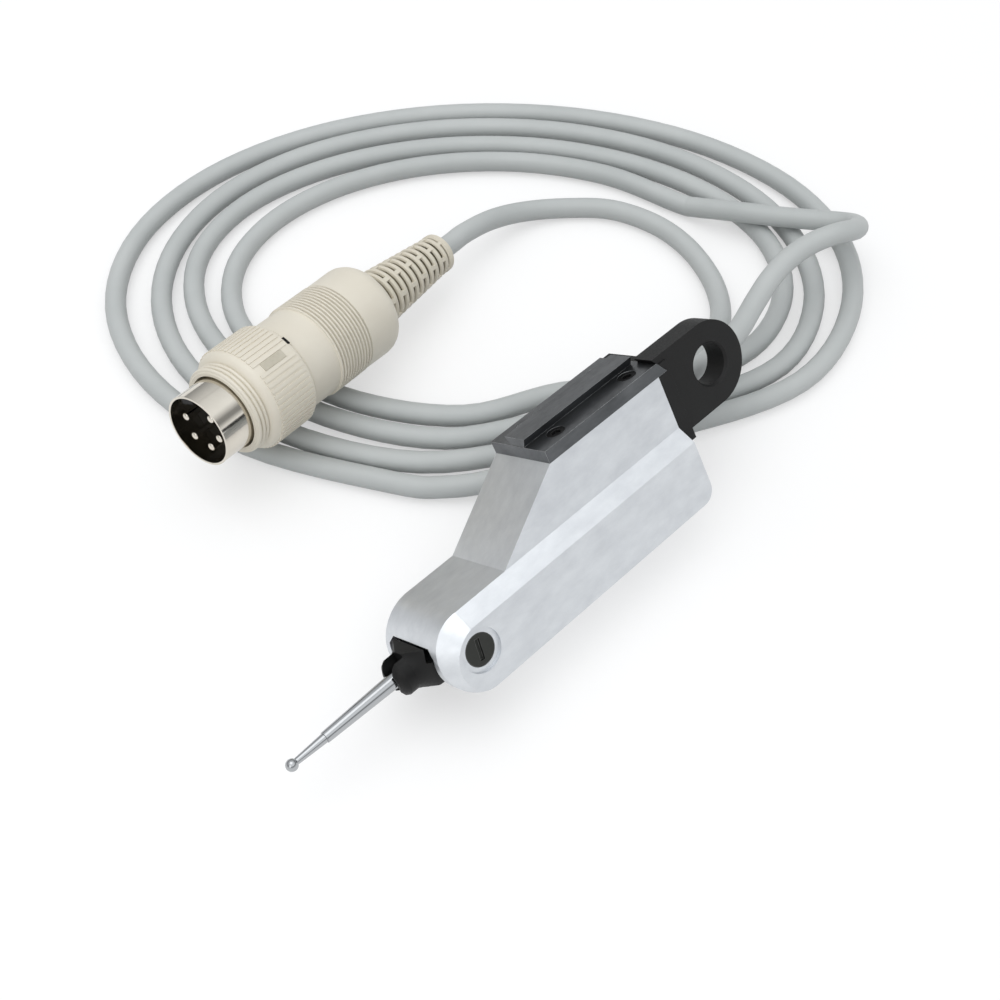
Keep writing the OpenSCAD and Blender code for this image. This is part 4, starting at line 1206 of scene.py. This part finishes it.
    def _ring_ribs(self, place: Matrix) -> bpy.types.Mesh:
        """Sets the fine ribs round the sleeve by geometry nodes, with a gap at the window.

        Args:
            place: The plug's frame.

        Returns:
            The ribs' mesh.
        """
        recipe = Recipe("ring_ribs")
        count = recipe.count("Ribs", self.ribs)
        width = recipe.size("Rib Width", self.rib_width)
        height = recipe.size("Rib Height", self.rib_height)
        reach = recipe.size("Sleeve Radius", self.ring_low)
        length = recipe.size("Rib Length", self.ring_to - self.ring_step - self.rib_from - self.rib_end_gap)
        start = recipe.size("First Angle", self.window_turn + self.window_half)
        sweep = recipe.size("Sweep", 2 * math.pi - 2 * self.window_half)
        sides = recipe.vector(length, width, recipe.math("MULTIPLY", height, 2.0))
        half = recipe.math("MULTIPLY", length, 0.5)
        lying = recipe.moved(recipe.node("GeometryNodeMeshCube", Size=sides).outputs["Mesh"],
                             Translation=recipe.vector(half, 0.0, reach))
        pitch = recipe.math("DIVIDE", sweep, recipe.math("SUBTRACT", count, 1.0))
        angle = recipe.math("ADD", start, recipe.math("MULTIPLY", recipe.index(), pitch))
        first = (self.ring_step + self.rib_from, 0.0, 0.0)
        ribs = recipe.repeated(lying, count, first, recipe.vector(angle))
        return recipe.mesh("ring_ribs", IVORY_PLASTIC, [ribs], place)

    def _ring_threads(self, place: Matrix) -> bpy.types.Mesh:
        """Lays the thread's crests round the nose by geometry nodes.

        Args:
            place: The plug's frame.

        Returns:
            The crests' mesh.
        """
        recipe = Recipe("ring_threads")
        ring = recipe.ring(recipe.size("Crest Circle", self.ring_nose + self.crest_lift),
                           recipe.size("Crest Section", self.crest_wire), sides=10, around=96)
        pitch = recipe.size("Crest Pitch", (self.ring_step - self.ring_from) / self.crests)
        rows = recipe.row(ring, recipe.count("Crests", self.crests), self.first_crest, pitch)
        return recipe.mesh("ring_threads", IVORY_PLASTIC, [rows], place @ shifted(self.ring_from))

    def _boot(self, place: Matrix) -> list[bpy.types.Object]:
        """Builds the flexible boot: flange, core and collar, and the slotted bands.

        Args:
            place: The plug's frame.

        Returns:
            The boot's pieces.
        """
        front, rear, bore = self.boot_front, self.boot_rear, self.boot_bore
        start, end = self.boot_from, self.boot_from + self.boot_length
        first, last = start + self.band_inset, end - self.collar_length
        flange = [(start - 0.6 * MM, bore), (start - 0.6 * MM, front - 0.25 * MM), (start - 0.3 * MM, front),
                  (start + 0.6 * MM, front - 0.02 * MM), (first, front - 0.3 * MM), (first, bore)]
        core = [(first, bore), (first, front - self.core_sink), (last, rear - self.core_sink), (last, bore)]
        collar = [(last, bore), (last, rear - 0.3 * MM), (last + 0.3 * MM, rear - 0.02 * MM),
                  (end - 0.5 * MM, rear - 0.05 * MM), (end - 0.1 * MM, rear - 0.45 * MM),
                  (end, rear - 0.9 * MM), (end, bore)]
        # The core takes the painted shade finish, darker than the bands over it.
        turned = [("boot_flange", IVORY_RUBBER, flange), ("boot_core", PAINTED_SHADE_RUBBER, core),
                  ("boot_collar", IVORY_RUBBER, collar)]
        made = [new_piece("boot_bands", self._boot_bands(place), IVORY_RUBBER, "head")]
        for name, finish, profile in turned:
            made.append(new_piece(name, lathe(name, profile, place), finish, "head"))
        for piece in made:
            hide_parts("plug_boot")
        log.info("plug: boot with %d bands", self.boot_bands)
        return made

    def _boot_bands(self, place: Matrix) -> bpy.types.Mesh:
        """Sets the boot's bands about its core, joined by staggered webs, by geometry nodes.

        Args:
            place: The plug's frame.

        Returns:
            The mesh of the bands and webs.
        """
        recipe = Recipe("slotted_boot")
        bands = recipe.count("Bands", self.boot_bands)
        webs = recipe.count("Webs", self.webs)
        front = recipe.size("Front Radius", self.boot_front - self.band_wire)
        rear = recipe.size("Rear Radius", self.boot_rear - self.band_wire)
        length = recipe.size("Length", self.boot_length - 2 * self.band_inset)
        wire = recipe.size("Band Section", self.band_wire)
        web_share = recipe.size("Web Share", self.web_share)
        index = recipe.index()
        last = recipe.math("SUBTRACT", bands, 1.0)
        pitch = recipe.math("DIVIDE", length, last)
        shrink = recipe.math("DIVIDE", recipe.math("SUBTRACT", front, rear), front)
        band = recipe.ring(front, wire, sides=8, around=64)
        row = self._boot_row(recipe, band, bands, index, pitch, shrink, last)
        row_of = recipe.math("FLOOR", recipe.math("DIVIDE", index, webs))
        in_row = recipe.math("MODULO", index, webs)
        odd = recipe.math("MULTIPLY", recipe.math("MODULO", row_of, 2.0), 0.5)
        turns = recipe.math("MULTIPLY", recipe.math("ADD", in_row, odd), 2 * math.pi)
        angle = recipe.math("DIVIDE", turns, webs)
        sides = recipe.vector(pitch, recipe.math("MULTIPLY", front, web_share),
                              recipe.math("MULTIPLY", wire, self.web_height))
        half = recipe.math("MULTIPLY", pitch, 0.5)
        web = recipe.moved(recipe.node("GeometryNodeMeshCube", Size=sides).outputs["Mesh"],
                           Translation=recipe.vector(half, 0.0, front))
        web_count = recipe.math("MULTIPLY", webs, last)
        web_row = self._boot_row(recipe, web, web_count, row_of, pitch, shrink, last, recipe.vector(angle))
        at_first = place @ shifted(self.boot_from + self.band_inset)
        return recipe.mesh("boot_bands", IVORY_RUBBER, [row, web_row], at_first)

    @staticmethod
    def _boot_row(recipe: Recipe, shape: bpy.types.NodeSocket, count: bpy.types.NodeSocket,
                  number: bpy.types.NodeSocket, pitch: bpy.types.NodeSocket, shrink: bpy.types.NodeSocket,
                  last: bpy.types.NodeSocket, turn: object = (0.0, 0.0, 0.0)) -> bpy.types.NodeSocket:
        """Repeats a shape along the boot, smaller towards the cable.

        Args:
            recipe: The boot's recipe.
            shape: The shape to repeat.
            count: Number of copies.
            number: The band that each copy belongs to.
            pitch: Distance between bands.
            shrink: Share of its size that a band loses over the boot's length.
            last: The last band's number.
            turn: Each copy's rotation.

        Returns:
            The copies' socket.
        """
        lost = recipe.math("MULTIPLY", recipe.math("DIVIDE", number, last), shrink)
        scale = recipe.math("SUBTRACT", 1.0, lost)
        along = recipe.vector(recipe.math("MULTIPLY", number, pitch))
        return recipe.repeated(shape, count, along, turn, recipe.vector(1.0, scale, scale))


def main() -> None:
    """Builds the studio, the cable with its plug, the head and the stylus."""
    logging.basicConfig(level=logging.INFO, format="%(message)s")
    Studio().build()
    CableRun().build(Plug().build())
    Head().build()
    Stylus().build()
    log.info("all pieces built")


if __name__ == "__main__":
    main()
